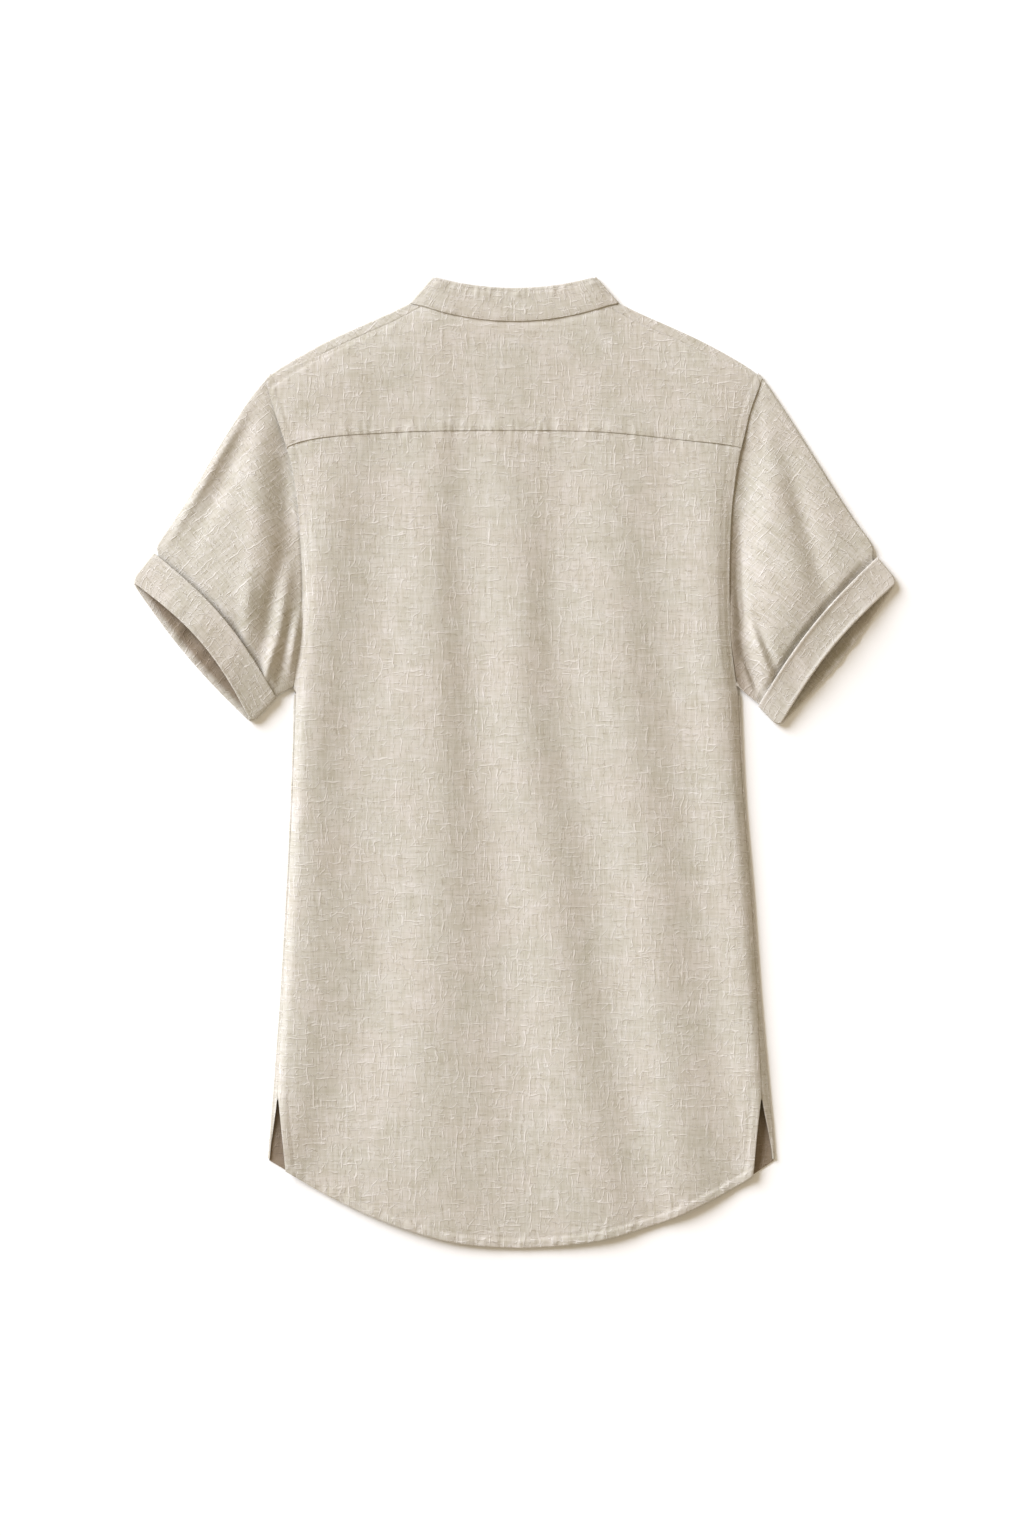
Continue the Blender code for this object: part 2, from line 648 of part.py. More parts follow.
def build_cuff(side):
    width = (Vector(SLEEVES[side]["mouth"][0]) - Vector(SLEEVES[side]["free edge"][0])).length
    turn = CUFF_LAYER / 2
    at_turn = (turn + CLOTH / 2) / width
    rings = [cuff_loop(side, share, True) for share in (*CUFF_ROWS, at_turn)]
    inner = cuff_loop(side, at_turn, False)
    outer = rings[-1]
    towards_mouth = cuff_corners(side, 0)[0] - cuff_corners(side, 1)[0]
    towards_mouth = Vector((towards_mouth.x, towards_mouth.y, 0)).normalized() * turn
    for angle in map(math.radians, CUFF_TURN_ANGLES):
        ring = []
        for a, b in zip(outer, inner):
            middle, half = (Vector(a) + Vector(b)) / 2, (Vector(a) - Vector(b)) / 2
            ring.append(middle + half * math.cos(angle) + towards_mouth * math.sin(angle))
        rings.append(ring)
    rings += [inner, cuff_loop(side, CUFF_SEAM, False)]
    return make_tube(f"cuff_{side}", rings, CLOTH)


def build_sleeve(side):
    sleeve = SLEEVES[side]
    width = (Vector(sleeve["mouth"][0]) - Vector(sleeve["free edge"][0])).length
    end_share = CUFF_SEAM + SEAM_GAP / width
    ends = cuff_corners(side, end_share)
    chord = (ends[1] - ends[0]).normalized()
    free = cuff_corners(side, 1)
    free_run = (free[1] - free[0]).normalized()
    inward = Vector((-free_run.y, free_run.x)) if sleeve["sign"] < 0 else Vector((free_run.y, -free_run.x))
    ends = [ends[0] + chord * CUFF_LAYER, ends[1] - chord * CUFF_LAYER]
    tucked = [free[0] + chord * CUFF_LAYER, free[1] - chord * CUFF_LAYER]
    tip, tip_out = shoulder_tip(sleeve["sign"])
    tip.x += sleeve["sign"] * SEAM_GAP / 2
    top_edge = [tip, *sleeve["top"], tucked[0], ends[0]]
    under_edge = [sleeve["armpit"], tucked[1], ends[1]]
    first, last = SHOULDERS[0][1], sleeve["armpit"][1]

    corners = (tip, Vector(sleeve["armpit"]), ends[0], ends[1])

    def plan(ring, place, upper):
        """A patch stretched between the armhole, the cuff's seam and the two folded edges."""
        arm = arm_place(side, between(first, last, place)) if 0 < place < 1 else corners[int(place)]
        cuff = cuff_plan(side, end_share, place, upper) if 0 < place < 1 else ends[int(place)]
        sides = path_point(top_edge, ring) * (1 - place) + path_point(under_edge, ring) * place
        bent = (corners[0] * (1 - place) + corners[1] * place) * (1 - ring)
        bent += (corners[2] * (1 - place) + corners[3] * place) * ring
        return arm * (1 - ring) + cuff * ring + sides - bent

    def low(point):
        away = (point - free[0]).dot(inward)
        return CLOTH / 2 + CUFF_LAYER * (1 - rise(away - CUFF_CLEAR_FROM, CUFF_CLEAR))

    def high(ring, place, point):
        arm = arm_place(side, between(first, last, place))
        swell = (4 * ring * (1 - ring)) ** 2 * math.sin(math.pi * place)
        ridges = 0
        for at_arm, at_cuff, half_width, height in SLEEVE_FOLDS[side]:
            crest = between(at_arm, at_cuff, ring)
            ridges += height * math.exp(-(((place - crest) / half_width) ** 2))
        level = between(upper_height(*arm), cuff_height(end_share, place), ring)
        return level + swell * (SLEEVE_CROWN * between(1, UNDERARM_CROWN, place) + ridges)

    arm_out = [tip_out, (corners[1] - arm_place(side, ARM_UPPER[-1])).normalized()]
    rings = []
    under_free_edge = path_length(top_edge[:-1]) / path_length(top_edge)
    for ring_share in (*SLEEVE_RINGS, under_free_edge, 1):
        ring = []
        for place in sleeve_places(ARM_UPPER):
            point = plan(ring_share, place, True)
            ring.append((point.x, point.y, high(ring_share, place, point)))
        for place, out, away in ((1, arm_out[1], chord), (0, arm_out[0], -chord)):
            edge = plan(ring_share, place, True)
            facing = out.lerp(away, ring_share).normalized()
            middle = low(edge) + FOLD
            fold = fold_ring(edge, facing, middle, FOLD, CLOTH)
            if place:
                ring += fold
                for lower in sleeve_places(ARM_LOWER):
                    point = plan(ring_share, lower, False)
                    ring.append((point.x, point.y, low(point)))
            else:
                ring += reversed(fold)
        rings.append(ring)
    return make_tube(f"sleeve_{side}", rings, CLOTH)


def clear_scene():
    for thing in list(bpy.data.objects):
        bpy.data.objects.remove(thing, do_unlink=True)


clear_scene()
PARTS = bpy.data.collections.new(COLLECTION)
bpy.context.scene.collection.children.link(PARTS)
MATERIALS = {
    "linen": make_material("linen", LINEN, 0.9),
    "horn": make_material("horn", HORN, 0.35),
}
build_back()
build_yoke()
build_front()
build_collar()
build_placket("placket_over", 0)
build_placket("placket_under", CLOTH + SEAM_GAP)
build_buttons()
for side_name in SLEEVES:
    build_sleeve(side_name)
    build_cuff(side_name)
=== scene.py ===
"""A band-collar shirt of slubbed linen, laid flat on its front, dressed over its fixed frame.

The shirt lies on z = 0 with its back up. Its collar points to +Y and its own left sleeve to -X. Shapes are
worked out in millimetres and made in metres. Each panel is a wall of cloth with two faces, laid over its
neighbour at the seams as the real panels are.
"""

import math

import bmesh
import bpy
import numpy as np
from bpy.props import FloatProperty, FloatVectorProperty, PointerProperty
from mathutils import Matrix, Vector


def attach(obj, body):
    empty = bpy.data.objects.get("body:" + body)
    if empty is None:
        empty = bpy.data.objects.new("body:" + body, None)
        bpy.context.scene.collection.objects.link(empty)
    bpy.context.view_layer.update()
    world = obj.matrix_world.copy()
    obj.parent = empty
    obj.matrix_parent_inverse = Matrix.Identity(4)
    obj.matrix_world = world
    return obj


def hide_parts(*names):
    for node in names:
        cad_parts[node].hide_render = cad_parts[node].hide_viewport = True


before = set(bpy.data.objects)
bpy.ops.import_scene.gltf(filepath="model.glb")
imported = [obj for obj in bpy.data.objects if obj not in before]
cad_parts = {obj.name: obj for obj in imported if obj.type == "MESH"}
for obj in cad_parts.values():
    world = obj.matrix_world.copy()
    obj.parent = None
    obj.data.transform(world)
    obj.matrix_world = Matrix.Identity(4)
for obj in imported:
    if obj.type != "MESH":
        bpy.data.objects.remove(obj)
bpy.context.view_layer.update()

bl_info = {
    "name": "Band-collar shirt",
    "version": (1, 0, 0),
    "blender": (4, 5, 0),
    "location": "View3D > Sidebar > Shirt",
    "description": "Dresses the frame of a short-sleeved linen shirt that lies flat on its front",
    "category": "Object",
}

MM = 0.001

# Body, as it lies. Each row is one level up the side.
SIDES = (              # y, left edge, right edge
    (-398, -247.0, 260.5),
    (-364, -244.3, 258.0),
    (-330, -241.5, 254.8),
    (-230, -234.2, 245.8),
    (-130, -228.6, 238.6),
    (-30, -223.9, 230.2),
    (72, -220.5, 225.5),
)
SIDE_SEAMS = (         # y, how far the seam lies in from the left edge, and from the right edge
    (-330, 5.0, 8.3),
    (-230, 3.2, 4.2),
    (-130, 2.5, 2.9),
    (72, 2.4, 2.4),
)
ARMPIT, SLIT_TOP = 72, -330
BACK_SLITS = (         # y, left edge, right edge of the back below the top of the slits
    (-411, -228.6, 238.6),
    (-370, -232.6, 242.2),
    (-330, -236.5, 246.5),
)
HEM = (                # x, y of the curved hem
    (-247, -398), (-228.5, -409), (-192.5, -430), (-152, -450), (-110.5, -466), (-66, -479),
    (-20.5, -484.5), (28.5, -484.5), (84.5, -478), (128.5, -466), (162.5, -454), (200, -436),
    (231.5, -418), (261, -398),
)
ARMHOLES = (           # y, left seam, right seam
    (72, -220.8, 222.6), (98, -217.6, 218.9), (123, -215.0, 216.0), (165, -211.8, 214.8),
    (206, -212.9, 215.0), (254, -216.3, 217.2), (290, -221.2, 221.8), (312.6, -227.0, 226.2),
    (330, -232.8, 230.4), (347, -238.6, 234.4), (362, -243.4, 239.4), (376, -246.6, 244.8),
    (384, -248.3, 248.2),
)
SHOULDERS = (          # distance from the middle, y, width of front that shows on the back
    (104.0, 459, 12.5),
    (121.5, 450.3, 9.5),
    (141.0, 441.5, 9.5),
    (163.0, 431.8, 9.5),
    (187.0, 420.6, 9.5),
    (211.5, 407.5, 9.5),
    (230.0, 396.5, 9.0),
    (248.2, 384, 8.0),
)
YOKE_SEAM = (          # x, y
    (-228, 312.6), (-187, 324), (-134, 328.4), (-78, 330.5), (6, 331.2), (86.5, 329.5),
    (146.5, 324), (199, 317.5), (228, 312.6),
)
FRONT_LOW, FRONT_HIGH = SIDES[0][0], SHOULDERS[-1][1]
SPREAD_FROM = 206      # how far up the front starts to spread to its neckline and shoulders
NECK_SHARE, YOKE_NECK_SHARE = 0.41, 0.41  # share of the top edge of front and yoke that lies at the neck
FLAP_END = SLIT_TOP - 67             # where the edge that the front turns over its slit has run out
FLAP_LEFT = 0.12                     # share of that edge's width that is left there
SIDE_FLAP = (0.3, 0.65, 0.9, 1, 1.15, 1.4, 2)             # lines of points past the folds, by their share
SHOULDER_FLAP = (0.25, 0.5, 0.75, 0.9, 1, 1.12, 1.4, 2)   # of the way to the seam, and on to the tuck's end
TIP_OUT = (0.30, 0.954)              # the way out of the fold at the outer end of a shoulder
YOKE_END, SHOULDER_END = 312.6, 376  # how far up the armholes the yoke seam and the shoulder seams end
BODY_WIDTH, BACK_LENGTH, YOKE_DEPTH = 450, 812, 110  # panels as they are cut
FRONT_WIDTH, FRONT_LENGTH = 500, 782
EDGES = ((1, 1), (2, -1))            # the left and the right edge: its column in a table, and the way in

# Stitches, by how far they run from the edge or the seam
HEM_TURN, SLIT_TURN, ARM_STITCH = 9.5, 8.5, 8.5
YOKE_STITCH, SHOULDER_STITCH = 1.6, 2.0
COLLAR_STITCH, COLLAR_BASE_STITCH = 4.0, 2.2
TURNED = 0.9           # extra thickness where an edge is turned in, as a share of the cloth's
TURN_RISE = 0.35       # how much higher the turn lies

# Collar band, as it lies
COLLAR_HALF, COLLAR_BACK_Y, COLLAR_BASE_RADIUS = 104, 440, 283
COLLAR_TOP_HALF, COLLAR_TOP_Y, COLLAR_TOP_RADIUS = 81, 473.6, 296
COLLAR_HEIGHT = 33
COLLAR_SEAM_HALF = 92  # half the stretch of the band's back that is sewn to the yoke
COLLAR_EDGE_HALF = 77  # the same along its top edge
COLLAR_TOP_LEVEL = 5.6
NECK_HALF, NECK_FRONT_Y = 112, 371  # the front neckline is part of an ellipse
NECK_START = 21.79     # angle on that ellipse where the neckline meets the shoulder
NECK_DEPTH = (SHOULDERS[0][1] - NECK_FRONT_Y) / (1 - math.sin(math.radians(NECK_START)))
BAND_LIFT = 0.4        # how far the band lies over the ground layer
FRONT_LAP = 14.0       # how far each end of the band reaches past the centre front
CORNER_OUT = (0.72, 0.69)           # the way out of the fold at the collar's ends, for the right end

# Closure at the centre front
PLACKET_HALF, PLACKET_END = 14.3, 172
BUTTON_YS = (340, 282, 224)
BUTTON_DIAMETER, BUTTON_HEIGHT, HOLE_FROM_MIDDLE = 11.0, 1.8, 1.3
PLACKET_OVER, PLACKET_UNDER = 1.75, 3.55  # how far the two bands lie over the ground layer
BUTTON_ROOM = 2.65     # how far the buttons lift the front off the ground
LIFT_BESIDE, LIFT_FROM, LIFT_REACH = 45, 120, 55  # how far beside the placket and from where up it does so

# Sleeves and cuffs, as they lie. Corners are named by where they are on the cuff.
SLEEVES = {
    "left": {
        "sign": -1,
        "column": 1,   # of the table of armholes
        "top": ((-266.5, 360), (-297.5, 312), (-325.5, 264), (-341.5, 240), (-357.0, 216)),
        "armpit": (-221.0, 74.8),
        "mouth": ((-383, 181), (-262, 38)),
        "free edge": ((-360, 209), (-237.6, 64)),
        "bulges": {"mouth": (14, -6), "free edge": (11, -4)},
        "puckers": 3,  # the first of them on the cuff
    },
    "right": {
        "sign": 1,
        "column": 2,
        "top": ((264.5, 360), (295.5, 312), (325.5, 264), (341.5, 240), (358.0, 216)),
        "armpit": (225.0, 74.8),
        "mouth": ((383, 180.5), (264, 34.5)),
        "free edge": ((362.6, 205), (243.2, 56)),
        "bulges": {"mouth": (9, -6), "free edge": (8, -4)},
        "puckers": 8,
    },
}

# Heights of the upper layer
FOLD = 1.5             # radius of the middle of the cloth where it folds back on itself
GROUND = 0.45          # height of the middle of the layer that lies on the ground
EDGE_LEVEL = GROUND + 2 * FOLD
TURN_ANGLES = np.radians(np.linspace(-90, 90, 9))  # round a fold, from the lower layer to the upper one
CROWN = 4.0            # lift of the back over the height of its folded sides
SIDE_REACH, SHOULDER_REACH, HEM_REACH = 32, 45, 110
HEM_LEVEL, HEM_CROWN = 2.4, 0.35    # height of the hem, and the share of the crown that is left there
SLANT = 0.87           # distance to the slanting top edge, as a share of that straight up to it
ARMHOLE_SHARE = 0.55   # how much of the crown is left in the valley along an armhole
VALLEY_ENDS = 50, 45   # how far from the armpit and from the shoulder the valley is full
FOLDS_BESIDE, FOLDS_BELOW = 12, 20  # how far in from the sides and the top edge the long folds are full
SLEEVE_CROWN = 6.0
LAP = 0.7              # step down from one panel to the one tucked under it at a seam
COLLAR_LAP = LAP * 0.45
TUCK = 7.0             # how far a panel runs on under its neighbour

# Where each piece is cut from the cloth, so that no two have the same stretch of its pattern
YOKE_CUT, COLLAR_CUT, PLACKET_CUT = (390, 70), (60, 900), (0, 1500)
SLEEVE_CUT, CUFF_CUT = (1100, 300), (1900, 300)  # x on both sides of the middle

# Long soft folds of the back: for each crest and each trough between them its height, then its x at the
# levels above. The last table says how much of that height is left up the back.
FOLD_LEVELS = (-400, -300, -200, -100, 0, 100, 200, 300)
FOLD_LINES = (
    (1.5, -268, -256, -252, -246, -242, -238, -232, -222),
    (6.2, -240, -234, -230, -224, -216, -205, -193, -183),
    (0.2, -192, -163, -147, -153, -161, -147, -141, -134),
    (6.6, -85, -87, -81, -77, -77, -81, -83, -80),
    (0.6, 4, -2, -12, -22, -34, -40, -49, -52),
    (6.5, 81, 59, 45, 32, 14, 5, 4, -12),
    (0.8, 125, 106, 91, 78, 57, 46, 41, 40),
    (6.4, 168, 154, 142, 132, 117, 106, 98, 90),
    (0.6, 219, 207, 195, 183, 167, 154, 148, 148),
    (5.4, 252, 244, 238, 230, 214, 203, 198, 194),
    (1.5, 275, 268, 262, 255, 242, 236, 234, 226),
)
FOLD_FADE = (
    (-450, 0.55), (-400, 0.75), (-300, 1), (60, 1), (160, 0.9), (240, 0.65), (310, 0.35), (370, 0.1),
    (480, 0),
)


def between(a, b, share):
    """The value a share of the way from a to b."""
    return a + (b - a) * share


def rise(distance, reach):
    """0 at an edge and 1 from `reach` inwards, steepest at the edge."""
    share = np.clip(np.asarray(distance, float) / reach, 0, 1)
    return share * (2 - share)


def ease(distance, reach):
    """0 at an edge and 1 from `reach` inwards, level at both."""
    share = np.clip(np.asarray(distance, float) / reach, 0, 1)
    return share * share * (3 - 2 * share)


def bump(distance, half_width):
    """1 at no distance, running out smoothly past the half width."""
    return np.exp(-((np.asarray(distance, float) / half_width) ** 2))


def unit(vector):
    """A vector, or each one in a list or grid, at length 1."""
    return vector / np.linalg.norm(vector, axis=-1, keepdims=True)


def lengths(points):
    """How far each of a run of points is from the first, along the run."""
    return np.concatenate(([0], np.cumsum(np.linalg.norm(np.diff(points, axis=0), axis=1))))


def along(table, at, column=1):
    """Reads a column of a table whose first column climbs, as a smooth curve through its rows."""
    keys = np.array([row[0] for row in table], float)
    values = np.array([row[column] for row in table], float)
    at = np.asarray(at, float)
    row = np.clip(np.searchsorted(keys, at, side="right") - 1, 0, len(keys) - 2)
    before, after = np.maximum(row - 1, 0), np.minimum(row + 2, len(keys) - 1)
    step = keys[row + 1] - keys[row]
    share = (at - keys[row]) / step
    slope_in = (values[row + 1] - values[before]) / (keys[row + 1] - keys[before]) * step
    slope_out = (values[after] - values[row]) / (keys[after] - keys[row]) * step
    square, cube = share ** 2, share ** 3
    smooth = (
        (2 * cube - 3 * square + 1) * values[row] + (cube - 2 * square + share) * slope_in
        + (3 * square - 2 * cube) * values[row + 1] + (cube - square) * slope_out
    )
    straight = between(values[row], values[row + 1], share)
    return np.where((share > 0) & (share < 1), smooth, straight)


def path_point(points, share):
    """Points that lie at these shares of the way along a smooth path."""
    places = np.array(points, float)
    rows = np.column_stack([lengths(places), places])
    at = np.asarray(share, float) * rows[-1, 0]
    return np.stack([along(rows, at, column) for column in (1, 2)], axis=-1)


def arc_y(x, middle_y, radius):
    """Height of an arc that hangs down to `middle_y` at the middle of the shirt."""
    return middle_y + radius - np.sqrt(radius ** 2 - np.asarray(x, float) ** 2)


def collar_seam(x):
    """Where the band is sewn to the yoke."""
    return arc_y(x, COLLAR_BACK_Y, COLLAR_BASE_RADIUS)


def collar_edge(x):
    """The band's top edge at the back."""
    return arc_y(x, COLLAR_TOP_Y, COLLAR_TOP_RADIUS)


def upper_outline(x):
    """The top edge of the shirt as it lies: shoulders, ends of the collar and the collar's top edge."""
    away = np.abs(np.asarray(x, float))
    share = (away - COLLAR_TOP_HALF) / (COLLAR_HALF - COLLAR_TOP_HALF)
    slant = between(collar_edge(COLLAR_TOP_HALF), SHOULDERS[0][1], share)
    beside = np.where(away <= COLLAR_HALF, slant, along(SHOULDERS, away))
    return np.where(away <= COLLAR_TOP_HALF, collar_edge(np.minimum(away, COLLAR_TOP_HALF)), beside)


def side_edge(y, side):
    """One edge of the body, side 1 left and 2 right: the folded side, and the armhole above it."""
    return np.where(np.asarray(y) <= ARMPIT, along(SIDES, y, side), along(ARMHOLES, y, side))


def long_folds(x, y):
    """Height that the long folds add to the back, in smooth waves from each crest to the next trough."""
    lines = [along(list(zip(FOLD_LEVELS, line[1:])), y) for line in FOLD_LINES]
    total = FOLD_LINES[0][0]
    for number in range(len(lines) - 1):
        share = np.clip((x - lines[number]) / (lines[number + 1] - lines[number]), 0, 1)
        step = FOLD_LINES[number + 1][0] - FOLD_LINES[number][0]
        total = total + step * (1 - np.cos(np.pi * share)) / 2
    return total * along(FOLD_FADE, y)


def upper_height(x, y):
    """Height of the middle of the cloth where the shirt's upper layer lies."""
    x, y = np.asarray(x, float), np.asarray(y, float)
    inside = np.minimum(x - side_edge(y, 1), side_edge(y, 2) - x)
    edge = FOLD + GROUND
    valley = ARMHOLE_SHARE * rise(y - ARMPIT, VALLEY_ENDS[0]) * rise(FRONT_HIGH - y, VALLEY_ENDS[1])
    body = np.where(y <= ARMPIT, rise(inside - edge, SIDE_REACH),
                    between(valley, 1, rise(inside, SIDE_REACH)))
    below_top = (upper_outline(x) - y) * SLANT - edge
    from_hem = rise(y - along(HEM, x), HEM_REACH)
    base = between(HEM_LEVEL, EDGE_LEVEL, from_hem)
    crown = CROWN * body * rise(below_top, SHOULDER_REACH) * between(HEM_CROWN, 1, from_hem)
    return base + crown + long_folds(x, y) * rise(inside - edge, FOLDS_BESIDE) * rise(below_top, FOLDS_BELOW)


def lower_lift(x, y):
    """How far the buttons lift the lower layer off the ground."""
    beside = 1 - rise(np.abs(x) - PLACKET_HALF - 2, LIFT_BESIDE)
    return BUTTON_ROOM * beside * rise(np.asarray(y) - LIFT_FROM, LIFT_REACH)


# Making cloth

ROUND = ((0, 0), (0.13, 0.49), (0.5, 0.87))  # distance from a rounded edge, and how thick, in half walls


def paced(stops, round_start=0, round_end=0):
    """Distances from the first stop to the last, each step as long as the stops say there, closer together
    at a rounded edge, and with each the share of the wall's thickness."""
    first, last = stops[0][0] + round_start, stops[-1][0] - round_end
    fine = np.linspace(first, last, 2000)
    pace = 1 / np.interp(fine, [stop[0] for stop in stops], [stop[1] for stop in stops])
    count = np.concatenate(([0], np.cumsum((pace[1:] + pace[:-1]) / 2 * np.diff(fine))))
    steps = max(2, round(count[-1]))
    places = list(np.interp(np.arange(steps + 1) / steps * count[-1], count, fine))
    shares = [1] * len(places)
    if round_start:
        places = [stops[0][0] + near * round_start for near, _ in ROUND] + places
        shares = [share for _, share in ROUND] + shares
    if round_end:
        places += [stops[-1][0] - near * round_end for near, _ in reversed(ROUND)]
        shares += [share for _, share in reversed(ROUND)]
    return np.array(places), np.array(shares, float)


def facing(middle, around=False):
    """The way out of a grid of points, whose columns run to the right and rows away."""
    across = np.gradient(middle, axis=1)
    if around:
        across = np.roll(middle, -1, axis=1) - np.roll(middle, 1, axis=1)
    out = np.cross(across, np.gradient(middle, axis=0))
    return out / np.maximum(np.linalg.norm(out, axis=2, keepdims=True), 1e-9)


def cloth_data(middle, half, flat, around=False, cells=None, shelter=(0, 0)):
    """Points, faces, flat places and painted light of a wall of cloth. `middle` is a grid of points, `half`
    half the wall at each, `flat` where each point lies in the cut cloth, and `cells` the cells that have
    cloth.
    The last argument gives, for each of the two faces, painted shade: how much darker and browner the cloth
    is painted where shade falls; below 0, how much lighter it is painted, toward the slub colour."""
    rows, columns = middle.shape[:2]
    half = np.broadcast_to(half, (rows, columns)).astype(float)
    out = facing(middle, around) * half[..., None]
    points = np.concatenate([(middle + out).reshape(-1, 3), (middle - out).reshape(-1, 3)])
    upper = np.arange(rows * columns).reshape(rows, columns)
    lower = np.where(half > 0, upper + rows * columns, upper)
    grids = [upper, lower] + [np.broadcast_to(face, half.shape) for face in shelter]
    if around:
        grids = [np.concatenate([grid, grid[:, :1]], axis=1) for grid in grids]
    upper, lower, upper_shade, lower_shade = grids
    flat = np.asarray(flat, float)
    if cells is None:
        cells = np.ones((rows - 1, upper.shape[1] - 1), bool)

    def corners(ring, *grids):
        """One value for each corner of the ring, each from its own grid."""
        return np.stack([grid[corner] for grid, corner in zip(grids, ring)], axis=1)

    row, column = np.nonzero(cells)
    ring = ((row, column), (row, column + 1), (row + 1, column + 1), (row + 1, column))
    faces, places, shades = [], [], []
    for layer, shade, order in ((upper, upper_shade, ring), (lower, lower_shade, ring[::-1])):
        faces.append(corners(order, *[layer] * 4))
        places.append(corners(order, *[flat] * 4))
        shades.append(corners(order, *[shade] * 4))
    padded = np.pad(cells, 1)
    if around:
        padded[1:-1, 0], padded[1:-1, -1] = cells[:, -1], cells[:, 0]
    beside = (padded[:-2, 1:-1], padded[1:-1, 2:], padded[2:, 1:-1], padded[1:-1, :-2])
    for side, neighbour in enumerate(beside):
        row, column = np.nonzero(cells & ~neighbour)
        ring = ((row, column), (row, column + 1), (row + 1, column + 1), (row + 1, column))
        start, end = ring[side], ring[(side + 1) % 4]
        rim = corners((end, start, start, end), upper, upper, lower, lower)
        kept = (rim[:, 0] != rim[:, 3]) | (rim[:, 1] != rim[:, 2])
        faces.append(rim[kept])
        places.append(corners((end, start, start, end), *[flat] * 4)[kept])
        # a rim takes half the painted shade of its upper face
        shades.append(corners((end, start, start, end), *[upper_shade] * 4)[kept] * 0.5)
    return points, np.concatenate(faces), np.concatenate(places), np.concatenate(shades)


def make_cloth(name, wall, material, smooth=50):
    """One object from a wall of cloth, in metres, with a UV map that says where each point was cut."""
    points, faces, places, shelter = wall
    shape = bmesh.new()
    corners = [shape.verts.new(point) for point in (points * MM).tolist()]
    cut = shape.loops.layers.uv.new("cut")
    # painted shade and painted highlight, kept on each corner for the material to read
    painted_layer = shape.loops.layers.float.new("shelter")
    for face, spots, shades in zip(faces.tolist(), (places * MM).tolist(), shelter.tolist()):
        kept = [n for n in range(4) if face[n] != face[n - 1]]
        if len(kept) < 3:
            continue
        made = shape.faces.new([corners[face[n]] for n in kept])
        made.smooth = True
        for loop, n in zip(made.loops, kept):
            loop[cut].uv = spots[n]
            loop[painted_layer] = shades[n]
    loose = [corner for corner in shape.verts if not corner.link_faces]
    bmesh.ops.delete(shape, geom=loose, context="VERTS")
    mesh = bpy.data.meshes.new(name)
    shape.to_mesh(mesh)
    shape.free()
    mesh.set_sharp_from_angle(angle=math.radians(smooth))
    return place_mesh(name, mesh, material)


def place_mesh(name, mesh, material):
    """Puts a mesh into the scene as an object, finished with the material."""
    mesh.materials.append(material)
    piece = bpy.data.objects.new(name, mesh)
    bpy.context.scene.collection.objects.link(piece)
    return piece


# Small creases

def fan(number, low, high):
    """A value between low and high that differs from one pucker to the next in no plain order."""
    golden, start = 0.6180339887, 0.37
    return between(low, high, (number * golden + start) % 1)


def puckers(run, across, spacing, length, height, first=0):
    """Small creases that stand across a seam: `run` is the distance along it, `across` that from it."""
    run, across = np.asarray(run, float), np.asarray(across, float)
    total = np.zeros(np.broadcast(run, across).shape)
    low, high = int(run.min() // spacing) - 1, int(run.max() // spacing) + 2
    for number in range(low, high):
        centre = (number + fan(number + first, 0.15, 0.85)) * spacing
        lean = fan(number * 3 + first, -0.25, 0.25)
        reach = length * fan(number * 5 + first, 0.45, 1.35)
        width = spacing * fan(number * 7 + first, 0.22, 0.40)
        tall = height * fan(number * 11 + first, 0.25, 1.2)
        total = total + tall * bump(run - centre - lean * across, width) * bump(across, reach)
    return total


def seam_lap(distance, reach=14):
    """Lift of a panel near a seam where it lies on its neighbour."""
    return LAP / 2 * (1 - ease(distance, reach))


def sewn_edge(inside, stitches, groove=0.3, width=1.0, slope=2.5):
    """Height beside an edge that is turned in: the turn outside its stitches, and the groove they pull."""
    return TURN_RISE * ease(stitches - inside, slope) - groove * bump(inside - stitches, width)


# The body

def back_height(x, y):
    """The back and the yoke as they lie, with the small creases along their seams."""
    height = upper_height(x, y)
    seam = along(YOKE_SEAM, x) - y
    height = height + puckers(x, seam, 9.5, 13, 1.0) * (1 - ease(np.abs(seam), 40))
    above_hem = y - along(HEM, x)
    height = height + sewn_edge(above_hem, HEM_TURN, width=1.1, slope=4)
    height = height + puckers(x - above_hem * 0.35, above_hem - 5, 7.5, 8, 0.9, 9)
    for side, sign in EDGES:
        from_armhole = (x - side_edge(y, side)) * sign
        from_slit = (x - along(BACK_SLITS, y, side)) * sign
        height = height + ease(y - ARMPIT - 6, 20) * sewn_edge(from_armhole, ARM_STITCH, groove=0.35)
        height = height + ease(SLIT_TOP + 6 - y, 12) * sewn_edge(from_slit, SLIT_TURN)
    return height


def at_yoke_seam(share):
    """Points along the seam of the yoke, for shares across it."""
    x = between(along(ARMHOLES, YOKE_END, 1), along(ARMHOLES, YOKE_END, 2), share)
    return x, along(YOKE_SEAM, x)


